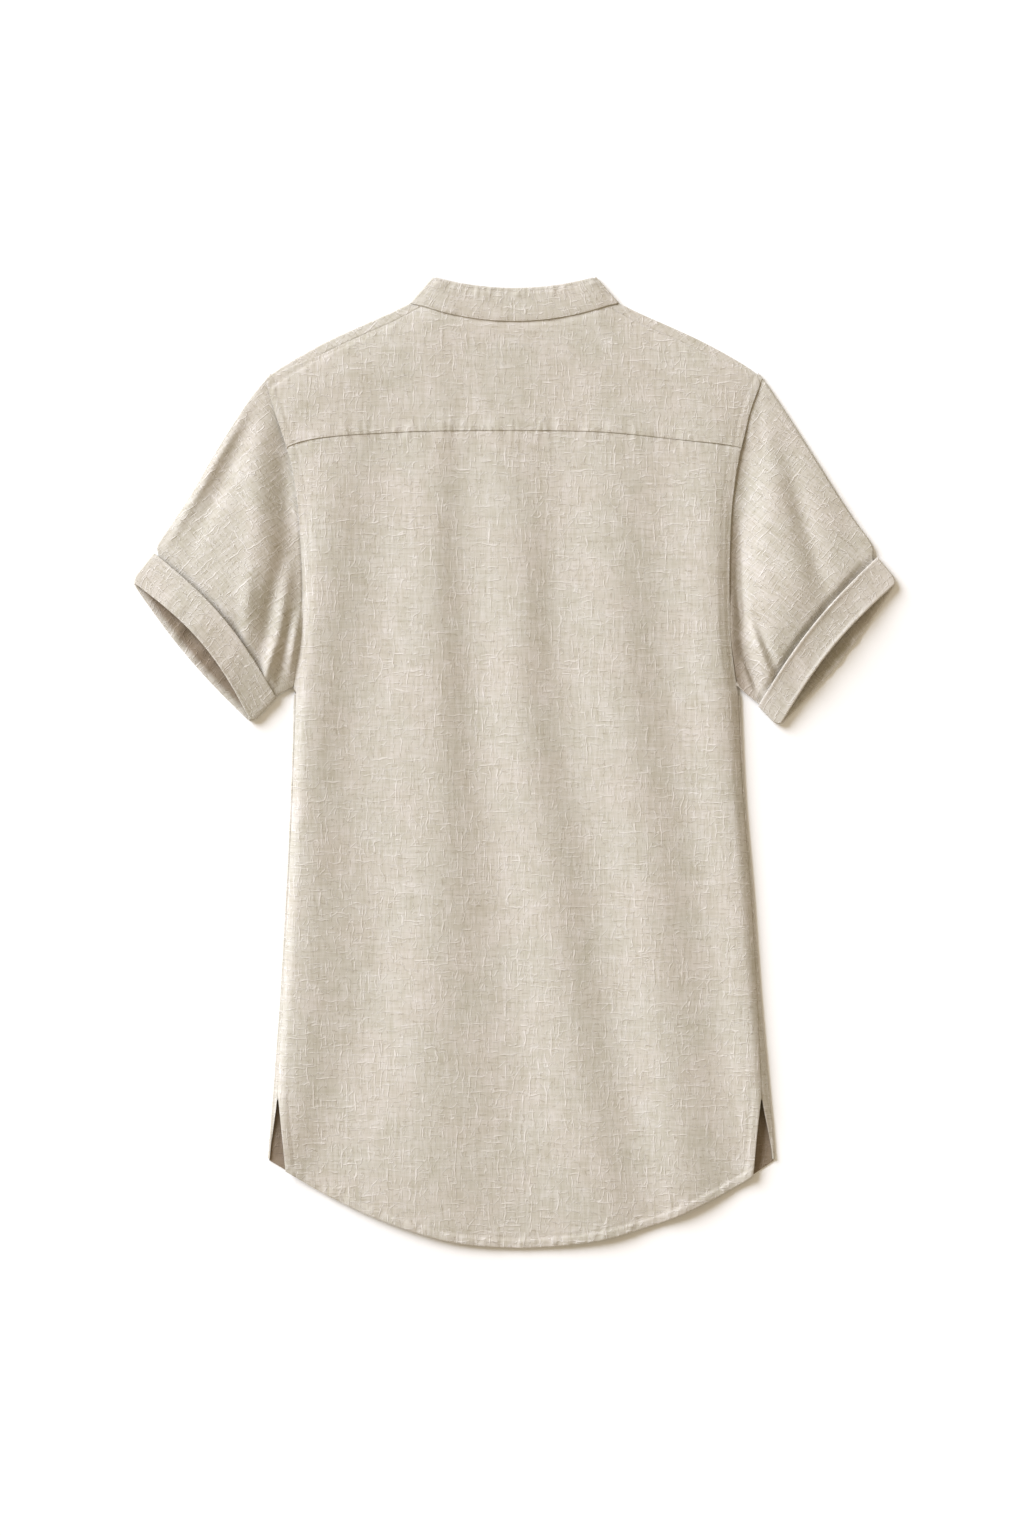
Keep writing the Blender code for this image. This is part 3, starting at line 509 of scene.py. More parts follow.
def back_panel(wall):
    """The back, from the hem to where it is tucked under the yoke."""
    across, across_share = paced(
        ((0, 1.6), (30, 2.3), (BODY_WIDTH - 30, 2.3), (BODY_WIDTH, 1.6)), wall / 2, wall / 2)
    up, up_share = paced(
        ((0, 1.4), (16, 1.8), (60, 4.2), (700, 4.2), (760, 2.2), (800, 1.2), (BACK_LENGTH, 1.6)), wall / 2)
    s, t = np.meshgrid(across / BODY_WIDTH, up / BACK_LENGTH)
    level = between(BACK_SLITS[0][0], 320, t)
    edges = []
    for side, sign in EDGES:
        at_seam = side_edge(level, side) + sign * along(SIDE_SEAMS, np.clip(level, SLIT_TOP, ARMPIT), side)
        at_slit = along(BACK_SLITS, level, side)
        edges.append(np.where(level < SLIT_TOP, at_slit,
                              np.where(level <= ARMPIT, at_seam, side_edge(level, side))))
    x = between(*edges, s)
    low = along(HEM, between(*BACK_SLITS[0][1:], s))
    y = between(low, at_yoke_seam(s)[1] + TUCK, t)
    seam = along(YOKE_SEAM, x) - y
    z = back_height(x, y) - seam_lap(seam) - LAP / 2 * ease(1.2 - seam, 1.6)
    turned = ease(HEM_TURN - (y - along(HEM, x)), 0.8)
    for edge, (_, sign) in zip(edges, EDGES):
        inside = (x - edge) * sign
        z = z + seam_lap(inside) * ease(y - SLIT_TOP, 30)
        turned = np.maximum(turned, ease(SLIT_TURN - inside, 0.8) * ease(SLIT_TOP + 4 - y, 3))
    half = wall / 2 * (1 + TURNED * turned) * across_share[None, :] * up_share[:, None]
    middle = np.stack([x, y, z], axis=2)
    return cloth_data(middle, half, middle[..., :2])


def yoke_panel(wall):
    """The yoke, from the seam where it lies on the back to where it is tucked under the collar."""
    across, across_share = paced(((0, 1.6), (BODY_WIDTH, 1.6)), wall / 2, wall / 2)
    up, up_share = paced(((0, 1.2), (20, 1.6), (60, 3), (90, 2.2), (YOKE_DEPTH, 1.4)), wall / 2, wall / 2)
    s, t = np.meshgrid(across / BODY_WIDTH, up / YOKE_DEPTH)
    start_x, start_y = at_yoke_seam(s)
    top = yoke_top(s)
    side = between(start_x, top[..., 0], t)
    y = between(start_y, top[..., 1], t)
    x = side
    for share, (column, _) in zip((s, 1 - s), EDGES):
        x = x + np.maximum(1 - share * 8, 0) ** 2 * (side_edge(y, column) - side)
    under_band = (1 - ease(collar_seam(x) - y, 7)) * (np.abs(x) < COLLAR_SEAM_HALF + 12)
    z = back_height(x, y) + LAP / 2 - LAP * under_band - 0.25 * bump(y - start_y - YOKE_STITCH, 0.6)
    inside = shoulder_distance(x, y)
    z = z + puckers(x, inside - 5, 8.5, 9, 0.6, 4) * (np.abs(x) > COLLAR_HALF) * ease(inside - 1, 3)
    z = z - (0.5 * bump(inside - SHOULDER_STITCH, 0.8) + 0.3 * bump(inside, 1.2)) * (inside > -3)
    half = wall / 2 * across_share[None, :] * up_share[:, None]
    middle = np.stack([x, y, z], axis=2)
    return cloth_data(middle, half, middle[..., :2] + YOKE_CUT)


def shoulder_distance(x, y):
    """How far a point of the yoke lies in from the nearer shoulder seam."""
    rows = shoulder_rows()
    seam, out = rows[1:, 3:5], rows[1:, 5:7]
    order = np.argsort(seam[:, 0])
    across = np.abs(x)
    level = np.interp(across, seam[order, 0], seam[order, 1], left=900)
    slope = np.interp(across, seam[order, 0], out[order, 1])
    return (level - y) * slope


def yoke_top(s):
    """Where the yoke meets the shoulder seams, and its edge under the collar, for shares across it."""
    away = np.abs(s - 0.5) * 2
    out = np.clip((away - YOKE_NECK_SHARE) / (1 - YOKE_NECK_SHARE), 0, 1)
    neck_x = away / YOKE_NECK_SHARE * COLLAR_SEAM_HALF
    neck_y = collar_seam(np.minimum(neck_x, COLLAR_SEAM_HALF)) + 5
    rows = shoulder_rows()
    x = np.where(out > 0, along(rows, out, 3), neck_x) * np.sign(s - 0.5)
    y = np.where(out > 0, along(rows, out, 4), neck_y)
    return np.stack([x, y], axis=-1)


def shoulder_rows():
    """Rows of share along a shoulder, outline x and y, shoulder seam x and y, and the way out of the fold,
    for the right side."""
    runs = np.array([row[:2] for row in SHOULDERS], float)
    length = lengths(runs)
    slope = np.gradient(runs, axis=0)
    out = unit(np.stack([-slope[:, 1], slope[:, 0]], axis=1))
    seam = runs - out * np.array([row[2:] for row in SHOULDERS])
    seam[0] = COLLAR_SEAM_HALF, collar_seam(COLLAR_SEAM_HALF)
    seam[-1] = along(ARMHOLES, SHOULDER_END, 2), SHOULDER_END
    return np.column_stack([length / length[-1], runs, seam, out])


def front_neck(sign, angle):
    """Points on the front neckline, part of an ellipse, by the angle on it in radians."""
    y = NECK_FRONT_Y + NECK_DEPTH * (1 - np.sin(angle))
    return np.stack([sign * NECK_HALF * np.cos(angle), y], axis=-1)


def front_top(s):
    """The front's top edge for shares across it, its shoulder seam, and the way out of the fold there."""
    away = np.abs(s - 0.5) * 2
    sign = np.where(s < 0.5, -1, 1)
    neck = front_neck(sign, np.radians(between(90, NECK_START, np.minimum(away / NECK_SHARE, 1))))
    share = np.clip((away - NECK_SHARE) / (1 - NECK_SHARE), 0, 1)
    rows = shoulder_rows()
    line = np.stack([along(rows, share, column) for column in range(1, 7)], axis=-1)
    outline, seam, out = (line[:, start:start + 2] * np.stack([sign, np.ones_like(sign)], axis=-1)
                          for start in (0, 2, 4))
    return np.where(away[:, None] < NECK_SHARE, neck, outline), seam, out


def front_panel(wall):
    """The front: the layer on the ground, its turns round the side folds to the side seams, and its turns
    over the shoulders to the shoulder seams."""
    across, across_share = paced(
        ((0, 2), (25, 5.2), (FRONT_WIDTH - 25, 5.2), (FRONT_WIDTH, 2)), wall / 2, wall / 2)
    up, up_share = paced(((0, 1.2), (14, 2), (60, 5.5), (740, 5.5), (FRONT_LENGTH, 3)), wall / 2)
    neck_ends = FRONT_WIDTH / 2 * (1 + NECK_SHARE * np.array((-1, 1)))
    spots = np.searchsorted(across, neck_ends)
    across, across_share = np.insert(across, spots, neck_ends), np.insert(across_share, spots, 1)
    s, t = np.meshgrid(across / FRONT_WIDTH, up / FRONT_LENGTH)
    level = between(FRONT_LOW, FRONT_HIGH, t)
    fold_in = FOLD + GROUND
    turned = (level >= FLAP_END) & (level <= ARMPIT)
    tuck_in = fold_in * ease(level - FLAP_END + 3, 3) * (level <= ARMPIT)
    top, seam, out = front_top(s[0])
    on_shoulder = np.abs(s[0] - 0.5) * 2 >= NECK_SHARE - 1e-9
    end = top - out * (fold_in * on_shoulder)[:, None]
    y = between(along(HEM, between(*SIDES[0][1:], s)), end[None, :, 1], t)
    spread = np.clip((level - SPREAD_FROM) / (FRONT_HIGH - SPREAD_FROM), 0, 1) ** 2
    spread = spread * (1 - np.abs(2 * s - 1) ** 12 * (t < 1))
    left, right = side_edge(level, 1), side_edge(level, 2)
    x = between(between(left + tuck_in, right - tuck_in, s), end[None, :, 0], spread)
    slit = np.minimum(x - left, right - x)
    hem = ease(HEM_TURN - (y - along(HEM, x)), 0.8)
    extra_wall = wall * TURNED * np.maximum(hem, ease(SLIT_TURN - slit, 0.8) * ease(SLIT_TOP + 4 - y, 3))
    z = GROUND + lower_lift(x, y) + extra_wall / 2
    half = (wall + extra_wall) / 2 * up_share[:, None] * np.where(turned, 1, across_share[None, :])
    ground = np.stack([x, y, z], axis=2)
    flat = ground[..., :2]
    blocks = [side_flap(ground, level[:, 0], 1), (ground, flat), side_flap(ground, level[:, 0], 2)]
    middle, flat = (np.concatenate(parts, axis=1) for parts in zip(*blocks))
    sides = blocks[0][0].shape[1]
    over, over_flat = (np.pad(part, ((0, 0), (sides, sides), (0, 0)), mode="edge")
                       for part in shoulder_flap(ground[-1], top, seam, out))
    cells = np.ones((len(middle) - 1, middle.shape[1] - 1), bool)
    cells[:, :sides] = cells[:, -sides:] = (turned[:-1, 0] & turned[1:, 0])[:, None]
    over_cells = np.zeros((len(over), cells.shape[1]), bool)
    over_cells[:, sides:-sides] = on_shoulder[:-1] & on_shoulder[1:]
    half = np.pad(half, ((0, len(over)), (sides, sides)), constant_values=wall / 2)
    # The front's upper face is the shirt's inside: it is painted darker and browner all over, painted shade
    # that stands for the shade inside the shirt where the slits open.
    return cloth_data(np.concatenate([middle, over]), half, np.concatenate([flat, over_flat]),
                      cells=np.concatenate([cells, over_cells]), shelter=(1, 0))


def side_flap(ground, level, side):
    """Columns that carry the front round one side fold and on under the edge of the back."""
    sign = -1 if side == 1 else 1
    edge = ground[:, 0 if side == 1 else -1, :2]
    fold = side_edge(np.minimum(level, ARMPIT), side) - sign * (FOLD + GROUND)
    seam = along(SIDE_SEAMS, np.clip(level, SLIT_TOP, ARMPIT), side) - FOLD - GROUND
    seam = seam * between(FLAP_LEFT, 1, ease(level - FLAP_END, SLIT_TOP - FLAP_END))
    tuck = TUCK * ease(level - SLIT_TOP + 5, 5)
    out = np.zeros_like(edge) + (sign, 0)
    columns, flats = past_fold(edge, np.column_stack([fold, edge[:, 1]]), out, -out, seam, tuck, SIDE_FLAP)
    if side == 1:
        columns.reverse()
        flats.reverse()
    return np.stack(columns, axis=1), np.stack(flats, axis=1)


def shoulder_flap(last, top, seam, out):
    """Rows that carry the front over the shoulder folds and on under the yoke."""
    centre = top - out * (FOLD + GROUND)
    reach = np.linalg.norm(seam - centre, axis=1)
    rows, flats = past_fold(last[:, :2], centre, out, unit(seam - centre), reach, TUCK, SHOULDER_FLAP)
    return np.stack(rows), np.stack(flats)


def past_fold(edge, centre, out, inward, reach, tuck, shares):
    """Lines of points that run on from a folded edge: round the fold, to the seam, and past it by the tuck.
    The shares say how far the lines are, 1 being the seam and 2 the end, and each line comes with where it
    lies in the cut cloth."""
    lines, cut = [], []
    for angle in TURN_ANGLES[1:]:
        plan = centre + out * (FOLD * math.cos(angle))
        lines.append(np.column_stack([plan, np.full(len(plan), GROUND + FOLD + FOLD * math.sin(angle))]))
        cut.append(np.full(len(plan), FOLD * (angle + math.pi / 2)))
    for share in shares:
        past = reach * share if share <= 1 else reach + (share - 1) * tuck
        plan = centre + inward * past[:, None]
        under = LAP * ease(past - reach + 1.0, 1.4)
        lines.append(np.column_stack([plan, upper_height(plan[:, 0], plan[:, 1]) - under]))
        cut.append(math.pi * FOLD + past)
    return lines, [edge + out * run[:, None] for run in cut]


# Sleeves and cuffs

SLEEVE_LENGTH = 238.0  # from the armhole to the cuff's seam
CUFF_DEPTH = 35        # from the mouth to the free edge
CUFF_THICKER = 1.5     # thickness of its wall, over that of one layer of the cloth
CUFF_LAYER = 1.8       # from the middle of the cuff's inner layer to that of its turned-back layer
CUFF_SEAM = 0.68       # where the cuff is sewn to the sleeve, as a share of its width from the mouth
CUFF_OPEN = {"left": (11.5, 9.5), "right": (6.5, 7.5)}  # rise of the mouth and of the free edge at the middle
PAINTED_CUFF_SHADE = {"left": 1.0, "right": 0.45}              # strength of the painted shade inside each mouth, and of that before each free edge
CUFF_STAND = 2.8       # how far the free edge stands off the sleeve, over the thickness of the layers
CUFF_EAR = 4.0         # how far the cuff's upper corner sticks out past the sleeve
CUFF_DITCH = 2.8       # how far the sleeve dips where it goes in under the free edge
CUFF_BEAD = 0.8        # how far the pressed edges stand up
CUFF_ROUND = 10.0      # how far the corners at the mouth are rounded off
MOUTH_UNSHADED = 1.5    # how far into the mouth the cloth stays unpainted before the painted shade sets in
CUFF_HIGHLIGHT = 0.38       # strength of the painted highlight along the pressed edges, toward the slub colour
CUFF_PALER = 0.14      # how much paler the whole turned-back layer is painted
PAINTED_EDGE_SHADE = 0.5       # how much painted shade, toward the inside colour, the sleeve takes just before the free edge
PAINTED_ARM_SHADOW = {"left": (0.22, 10), "right": (0.8, 24)}    # painted shadow beside the armhole: how much of the inside colour, and its width near the armpit
PIT_FROM = 0.925       # where along the armhole the fold of the armpit sets out
CUFF_CLEAR = 16        # length over which the sleeve climbs onto the turned-back layer

SLEEVE_FOLDS = {       # place across the armhole, place across the cuff, half width, height
    "left": ((0.60, 0.56, 0.24, 3.0),),
    "right": ((0.50, 0.46, 0.14, 1.6),),
}
CREASES = {            # x, y at one end, x, y at the other, half width, height: soft ridges and troughs
    "left": (
        (-230, 366, -228, 180, 12, -4.2),
        (-230, 222, -256, 88, 8, -4.6),
        (-257, 372, -259, 160, 13, 3.0),
        (-262, 200, -273, 90, 8, 3.0),
        (-222, 206, -244, 84, 6, 1.8),
        (-206, 160, -262, 52, 20, 4.6),
        (-262, 362, -352, 208, 5, 6.0),
        (-256, 352, -332, 196, 9, -4.6),
        (-222, 156, -238, 70, 4.5, -5.4),
        (-216, 150, -226, 74, 4, 3.4),
        (-238, 122, -252, 72, 4, 3.4),
        (-300, 250, -338, 200, 12, 1.4),
        (-268, 156, -284, 106, 10, -2.0),
        (-352, 200, -250, 70, 6, -4.0),
    ),
    "right": (
        (241, 376, 249, 296, 5, -1.2),
        (231, 352, 236, 62, 14, -4.4),
        (223, 250, 228, 60, 6, -5.0),
        (230, 104, 243, 66, 3, -4.0),
        (250, 345, 284, 140, 14, 1.8),
        (264, 332, 316, 146, 11, -5.0),
        (286, 330, 340, 216, 14, 1.8),
        (214, 170, 262, 50, 20, 3.6),
        (224, 122, 250, 60, 4.5, -6.4),
        (232, 140, 262, 72, 5, 4.4),
        (238, 150, 262, 88, 4.5, -3.6),
        (226, 170, 238, 100, 6, -4.0),
        (318, 258, 354, 192, 7, -1.6),
        (352, 198, 254, 64, 6, -3.6),
    ),
}


def creases(x, y, lines):
    """Height of soft ridges and troughs, each fading out towards its two ends."""
    total = 0
    for x0, y0, x1, y1, half_width, height in lines:
        run = math.hypot(x1 - x0, y1 - y0)
        ux, uy = (x1 - x0) / run, (y1 - y0) / run
        share = np.clip(((x - x0) * ux + (y - y0) * uy) / run, 0, 1)
        away = (x - x0) * uy - (y - y0) * ux
        total = total + height * bump(away, half_width) * np.sin(np.pi * share) ** 0.8
    return total


def arch(place):
    """1 all along a piece but for its two ends, where it is 0."""
    return np.sin(np.pi * place) ** 0.5


def cuff_corners(side, share):
    """The two ends of the cuff at a share of its width from the mouth to its free edge."""
    sleeve = SLEEVES[side]
    return [between(np.array(a, float), np.array(b, float), share)
            for a, b in zip(sleeve["mouth"], sleeve["free edge"])]


def cuff_ways(side, share):
    """The ends of the cuff at a share of its width, the way from the first to the second, and inwards."""
    start, end = cuff_corners(side, share)
    run = unit(end - start)
    return start, end, run, np.array((run[1], -run[0])) * SLEEVES[side]["sign"]


def cuff_plan(side, share, place, upper):
    """Points on the cuff as it lies, `place` being 0 at the shoulder side and 1 at the underarm."""
    start, end, _, inward = cuff_ways(side, share)
    bulges = SLEEVES[side]["bulges"]
    layer = 0 if upper else 1
    bulge = between(bulges["mouth"][layer], bulges["free edge"][layer], share)
    place = np.asarray(place, float)[:, None]
    return start + (end - start) * place + inward * bulge * np.sin(np.pi * place)


def cuff_height(side, share, place):
    """Height of the cuff's inner layer where it is uppermost."""
    return GROUND + CUFF_LAYER + 2 * FOLD + between(*CUFF_OPEN[side], share) * np.sin(np.pi * place)


def turn(edge, out, middle, radius, back=False):
    """Points round a folded edge, from the upper layer to the lower one."""
    angles = TURN_ANGLES if back else TURN_ANGLES[::-1]
    plan = edge - out * (radius + GROUND) + out * (radius * np.cos(angles))[:, None]
    return np.column_stack([plan, middle + radius * np.sin(angles)])


def arm_point(side, place):
    """Points on the armhole seam, `place` being 0 at the shoulder and 1 at the armpit."""
    y = between(FRONT_HIGH, SLEEVES[side]["armpit"][1], np.asarray(place, float))
    return np.stack([along(ARMHOLES, y, SLEEVES[side]["column"]), y], axis=-1)


def sleeve_ring(side, ring, upper_places, lower_places):
    """One ring of the sleeve: `ring` is 0 at the armhole and 1 where the cuff is sewn on."""
    sleeve = SLEEVES[side]
    start, end, chord, _ = cuff_ways(side, CUFF_SEAM)
    free_start, free_end, _, inward = cuff_ways(side, 1)
    ends = [start + chord * CUFF_LAYER, end - chord * CUFF_LAYER]
    tucked = [free_start + chord * (CUFF_LAYER + CUFF_EAR), free_end - chord * CUFF_LAYER]
    tip = np.array((sleeve["sign"] * SHOULDERS[-1][0], FRONT_HIGH))
    armpit = np.array(sleeve["armpit"])
    top_point = path_point((tip, *sleeve["top"], tucked[0], ends[0]), ring)
    under_point = path_point((armpit, tucked[1], ends[1]), ring)

    def plan(place, upper):
        """A patch stretched between the armhole, the cuff's seam and the two folded edges."""
        arm = arm_point(side, place)
        arm[-1] = armpit
        weight = place[:, None]
        cuff = cuff_plan(side, CUFF_SEAM, place, upper) + chord * CUFF_LAYER * (1 - 2 * weight)
        bent = between(between(tip, armpit, weight), between(*ends, weight), ring)
        return between(arm, cuff, ring) + between(top_point, under_point, weight) - bent

    def low(point):
        """Height of the lower layer, which climbs onto the cuff's turned-back layer."""
        away = (point - free_start) @ inward
        return GROUND + CUFF_LAYER * (1 - rise(away - 1, CUFF_CLEAR))

    upper, lower = plan(upper_places, True), plan(lower_places, False)
    arm = arm_point(side, upper_places)
    level = between(upper_height(arm[:, 0], arm[:, 1]), cuff_height(side, CUFF_SEAM, upper_places), ring)
    ridges = SLEEVE_CROWN * (1 - 0.5 * upper_places)
    for at_arm, at_cuff, half_width, height in SLEEVE_FOLDS[side]:
        ridges = ridges + height * bump(upper_places - between(at_arm, at_cuff, ring), half_width)
    swell = ease(ring - 0.03, 0.3) * ease(1 - ring, 0.4) * np.sin(np.pi * upper_places)
    inside = arch(upper_places) ** 0.5
    beyond = ((upper - cuff_plan(side, 1, upper_places, True)) * inward).sum(axis=1)
    ditch = CUFF_DITCH * (1 - ease(beyond, 8)) * ease(1 - ring, 0.03) * arch(upper_places)
    high = level + swell * ridges - ditch
    high = high + creases(upper[:, 0], upper[:, 1], CREASES[side]) * inside * ease(1 - ring, 0.12)
    high = np.maximum(high, low(upper) + 1.0 + 2.0 * (1 - inside))
    tip_out = np.array(TIP_OUT) * (sleeve["sign"], 1)
    pit_out = unit(armpit - arm_point(side, PIT_FROM))
    tip_fold, pit_fold = (
        turn(edge, unit(between(out, away, ring)), low(edge) + FOLD, FOLD, back)
        for edge, out, away, back in ((upper[0], tip_out, -chord, True), (upper[-1], pit_out, chord, False)))
    return np.concatenate([
        np.column_stack([upper, high])[1:-1], pit_fold,
        np.column_stack([lower, low(lower)])[::-1][1:-1], tip_fold,
    ])


def sleeve_panel(side, wall):
    """One sleeve: a tube from where it is tucked into the armhole to where the cuff is sewn on."""
    sign = SLEEVES[side]["sign"]
    upper_places = paced(((0, 0.008), (0.08, 0.012), (0.7, 0.012), (0.84, 0.006), (1, 0.005)))[0]
    lower_places = np.linspace(0, 1, 46)
    rings = paced(((0, 0.008), (0.06, 0.014), (0.88, 0.012), (1, 0.009)))[0]
    grid = np.stack([sleeve_ring(side, ring, upper_places, lower_places) for ring in rings])
    run = unit(grid[1] - grid[0])
    out = facing(grid, True)
    out = out * np.sign(out[len(rings) // 2, len(upper_places) // 2, 2])
    reach = rings * SLEEVE_LENGTH
    grid = grid - out * (LAP * (1 - ease(reach, 9)))[:, None, None]
    tuck = [grid[0] - run * distance - out[0] * 0.15 for distance in (TUCK, TUCK / 2)]
    grid = np.concatenate([np.stack(tuck), grid])
    reach = np.concatenate(([0, 0], reach))
    chord = cuff_ways(side, 0)[2]
    closed = np.concatenate([grid, grid[:, :1]], axis=1)
    across = np.hypot(np.diff(closed[..., :2] @ chord, axis=1), np.diff(closed[..., 2], axis=1))
    across = np.concatenate([np.zeros((len(grid), 1)), np.cumsum(across, axis=1)], axis=1)
    across = (across + (grid[:, :1, :2] @ chord)) * sign
    flat = np.stack([across, closed[..., :2] @ np.array((-chord[1], chord[0]))], axis=2)
    flat = flat + (SLEEVE_CUT[0] * sign, SLEEVE_CUT[1])
    # painted shade on the sleeve just before the cuff's free edge
    free_edge_shade = PAINTED_EDGE_SHADE * PAINTED_CUFF_SHADE[side] * ease(reach - SLEEVE_LENGTH * 0.91, 10)[:, None]
    # painted shadow on the sleeve beside the armhole, widest near the armpit and fading out higher up
    x, y = grid[..., 0], grid[..., 1]
    beside = np.abs(x - along(ARMHOLES, y, SLEEVES[side]["column"]))
    strength, width = PAINTED_ARM_SHADOW[side]
    width = between(width, 10, ease(y - 100, 130))
    armhole_shadow = strength * (1 - ease(beside - 2, width)) * (1 - ease(y - 70, 270))
    return cloth_data(grid, wall / 2, flat, around=True, shelter=(np.maximum(free_edge_shade, armhole_shadow), 0))


def cuff_ring(side, share, outer, upper_places, lower_places):
    """One ring of the cuff: its turned-back layer if `outer`, otherwise the layer inside it."""
    start, end, run, _ = cuff_ways(side, share)
    width = np.linalg.norm(end - start)
    depth = share * CUFF_DEPTH
    layer = CUFF_LAYER if outer else 0
    rounding = np.clip(1 - depth / CUFF_ROUND, 0, 1)
    inset = CUFF_LAYER - layer + CUFF_ROUND * 0.6 * (1 - math.sqrt(1 - rounding ** 2))
    ends = inset / width, 1 - inset / width
    upper = cuff_plan(side, share, between(*ends, upper_places), True)
    lower = cuff_plan(side, share, between(*ends, lower_places), False)
    wobble = puckers(upper_places * width, depth, 17, 24, 1.0, SLEEVES[side]["puckers"]) - 0.4
    low = np.full(len(lower_places), GROUND + CUFF_LAYER - layer)
    if outer:
        beads = bump(depth - 1.6, 1.8) + bump(CUFF_DEPTH - depth - 1.6, 1.8)
        wobble = wobble + CUFF_BEAD * beads + CUFF_STAND * share ** 2
    else:
        low = low + puckers(lower_places * width, depth - 8, 21, 18, 1.9, 5) * arch(lower_places)
    high = cuff_height(side, share, upper_places) + layer + wobble * arch(upper_places)
    middle, radius = GROUND + CUFF_LAYER + FOLD, FOLD + layer
    return np.concatenate([
        np.column_stack([upper, high])[1:-1], turn(end - run * inset, run, middle, radius),
        np.column_stack([lower, low])[::-1][1:-1],
        turn(start + run * inset, -run, middle, radius, back=True),
    ])


def cuff_panel(side, wall):
    """One turned-back cuff: a ring folded at the mouth."""
    mouth, free_edge = cuff_corners(side, 0)[0], cuff_corners(side, 1)[0]
    width = float(np.linalg.norm(mouth - free_edge))
    places = paced(((0, 0.010), (1, 0.010)))[0], np.linspace(0, 1, 61)
    half_turn = CUFF_LAYER / 2
    at_turn = (half_turn + GROUND) / width
    outer_end = width * (1 - at_turn)
    down, down_share = paced(((0, 0.9), (6, 1.6), (outer_end - 3, 1.6), (outer_end, 0.9)), wall / 2)
    rings = [cuff_ring(side, 1 - distance / width, True, *places) for distance in down]
    outer, inner = rings[-1], cuff_ring(side, at_turn, False, *places)
    to_mouth = np.append(unit(mouth - free_edge), 0) * half_turn
    for angle in np.radians(np.linspace(0, 180, 8)[1:-1]):
        rings.append((outer + inner) / 2 + (outer - inner) / 2 * math.cos(angle) + to_mouth * math.sin(angle))
    for share in np.linspace(at_turn, CUFF_SEAM + 0.03, 18):
        rings.append(cuff_ring(side, share, False, *places))
    grid = np.stack(rings)
    halves = np.append(down_share, np.ones(len(rings) - len(down)))[:, None]
    around = np.linalg.norm(np.roll(grid, -1, axis=1) - grid, axis=2)
    u = np.concatenate(([0], np.cumsum(around[len(down) // 2])))
    run = np.concatenate(([0], np.cumsum(np.linalg.norm(np.diff(grid, axis=0), axis=2).mean(axis=1))))
    flat = np.stack(np.meshgrid(u, -run), axis=2) + (CUFF_CUT[0] * SLEEVES[side]["sign"], CUFF_CUT[1])
    # painted shade that deepens into the cuff's mouth, on both faces
    mouth_shade = ease(run - width - MOUTH_UNSHADED, 7)[:, None] * PAINTED_CUFF_SHADE[side]
    # painted highlight along the two pressed edges, on a turned-back layer painted paler all over
    paler_and_highlight = CUFF_PALER + CUFF_HIGHLIGHT * (bump(run - 1.0, 1.9) + bump(run - width, 2.2))[:, None]
    return cloth_data(grid, wall / 2 * halves, flat, around=True, shelter=(mouth_shade - paler_and_highlight, mouth_shade))


# Collar band and placket

def collar_stations():
    """Stations along the band, from the end that lies under to the one that lies over: the point on the
    seam and the one on the top edge at each."""

    def front(sign, angles, lift):
        """Half of the band's front, which lies on the ground layer."""
        angles = np.radians(angles)
        base = front_neck(sign, angles)
        inward = np.stack([-sign * NECK_DEPTH * np.cos(angles), NECK_HALF * np.sin(angles)], axis=1)
        top = base + unit(inward) * COLLAR_HEIGHT
        level = GROUND + BAND_LIFT + lift
        return [np.column_stack([edge, level + lower_lift(edge[:, 0], edge[:, 1])]) for edge in (base, top)]

    def end_fold(sign, back):
        """One end of the collar as it lies, where the band turns from its front to its back."""
        out = np.array((sign * CORNER_OUT[0], CORNER_OUT[1]))
        base = np.array((sign * COLLAR_HALF, SHOULDERS[0][1]), float)
        top = np.array((sign * COLLAR_TOP_HALF, float(collar_edge(COLLAR_TOP_HALF))))
        return [turn(edge, out, GROUND + BAND_LIFT + FOLD, FOLD, back) for edge in (base, top)]

    past = math.degrees(math.asin(FRONT_LAP / NECK_HALF))
    x = np.linspace(-COLLAR_SEAM_HALF, COLLAR_SEAM_HALF, 90)
    top_x = x * COLLAR_EDGE_HALF / COLLAR_SEAM_HALF
    base = np.column_stack([x, collar_seam(x), upper_height(x, collar_seam(x)) + COLLAR_LAP])
    top = np.column_stack([top_x, collar_edge(top_x), np.full(len(x), COLLAR_TOP_LEVEL)])
    blocks = [
        front(-1, np.linspace(90 + past, NECK_START, 44), 2 * LAP),
        end_fold(-1, True), (base, top), end_fold(1, False),
        front(1, np.linspace(NECK_START, 90 + past, 44), 0),
    ]
    return [np.concatenate([block[row] for block in blocks]) for row in (0, 1)]


def collar_panel(wall):
    """The stand collar, flattened, from one end of the centre front round the back to the other."""
    base, top = collar_stations()
    up, up_share = paced(((0, 0.9), (6, 1.5), (27, 1.5), (COLLAR_HEIGHT, 0.9)), wall / 2, wall / 2)
    share = (up / COLLAR_HEIGHT)[:, None]
    grid = between(base[None], top[None], share[..., None])
    run = lengths((base + top) / 2)
    height = up[:, None]
    relief = 0.9 * np.sin(np.pi * share) ** 0.7
    relief = relief - 0.5 * bump(height - (COLLAR_HEIGHT - COLLAR_STITCH), 1.0)
    relief = relief - 0.22 * bump(height - COLLAR_BASE_STITCH, 0.7)
    relief = relief + puckers(run[None, :], height - COLLAR_HEIGHT + 5.5, 8.5, 6, 1.2, 2)
    relief = relief + puckers(run[None, :], height - 1, 9.5, 9, 0.5, 5)
    grid[..., 2] += relief * ease(base[:, 2] - 2, 1.6)[None, :]
    flat = np.stack(np.meshgrid(run, up), axis=2) + COLLAR_CUT
    return cloth_data(grid, wall / 2 * up_share[:, None], flat)


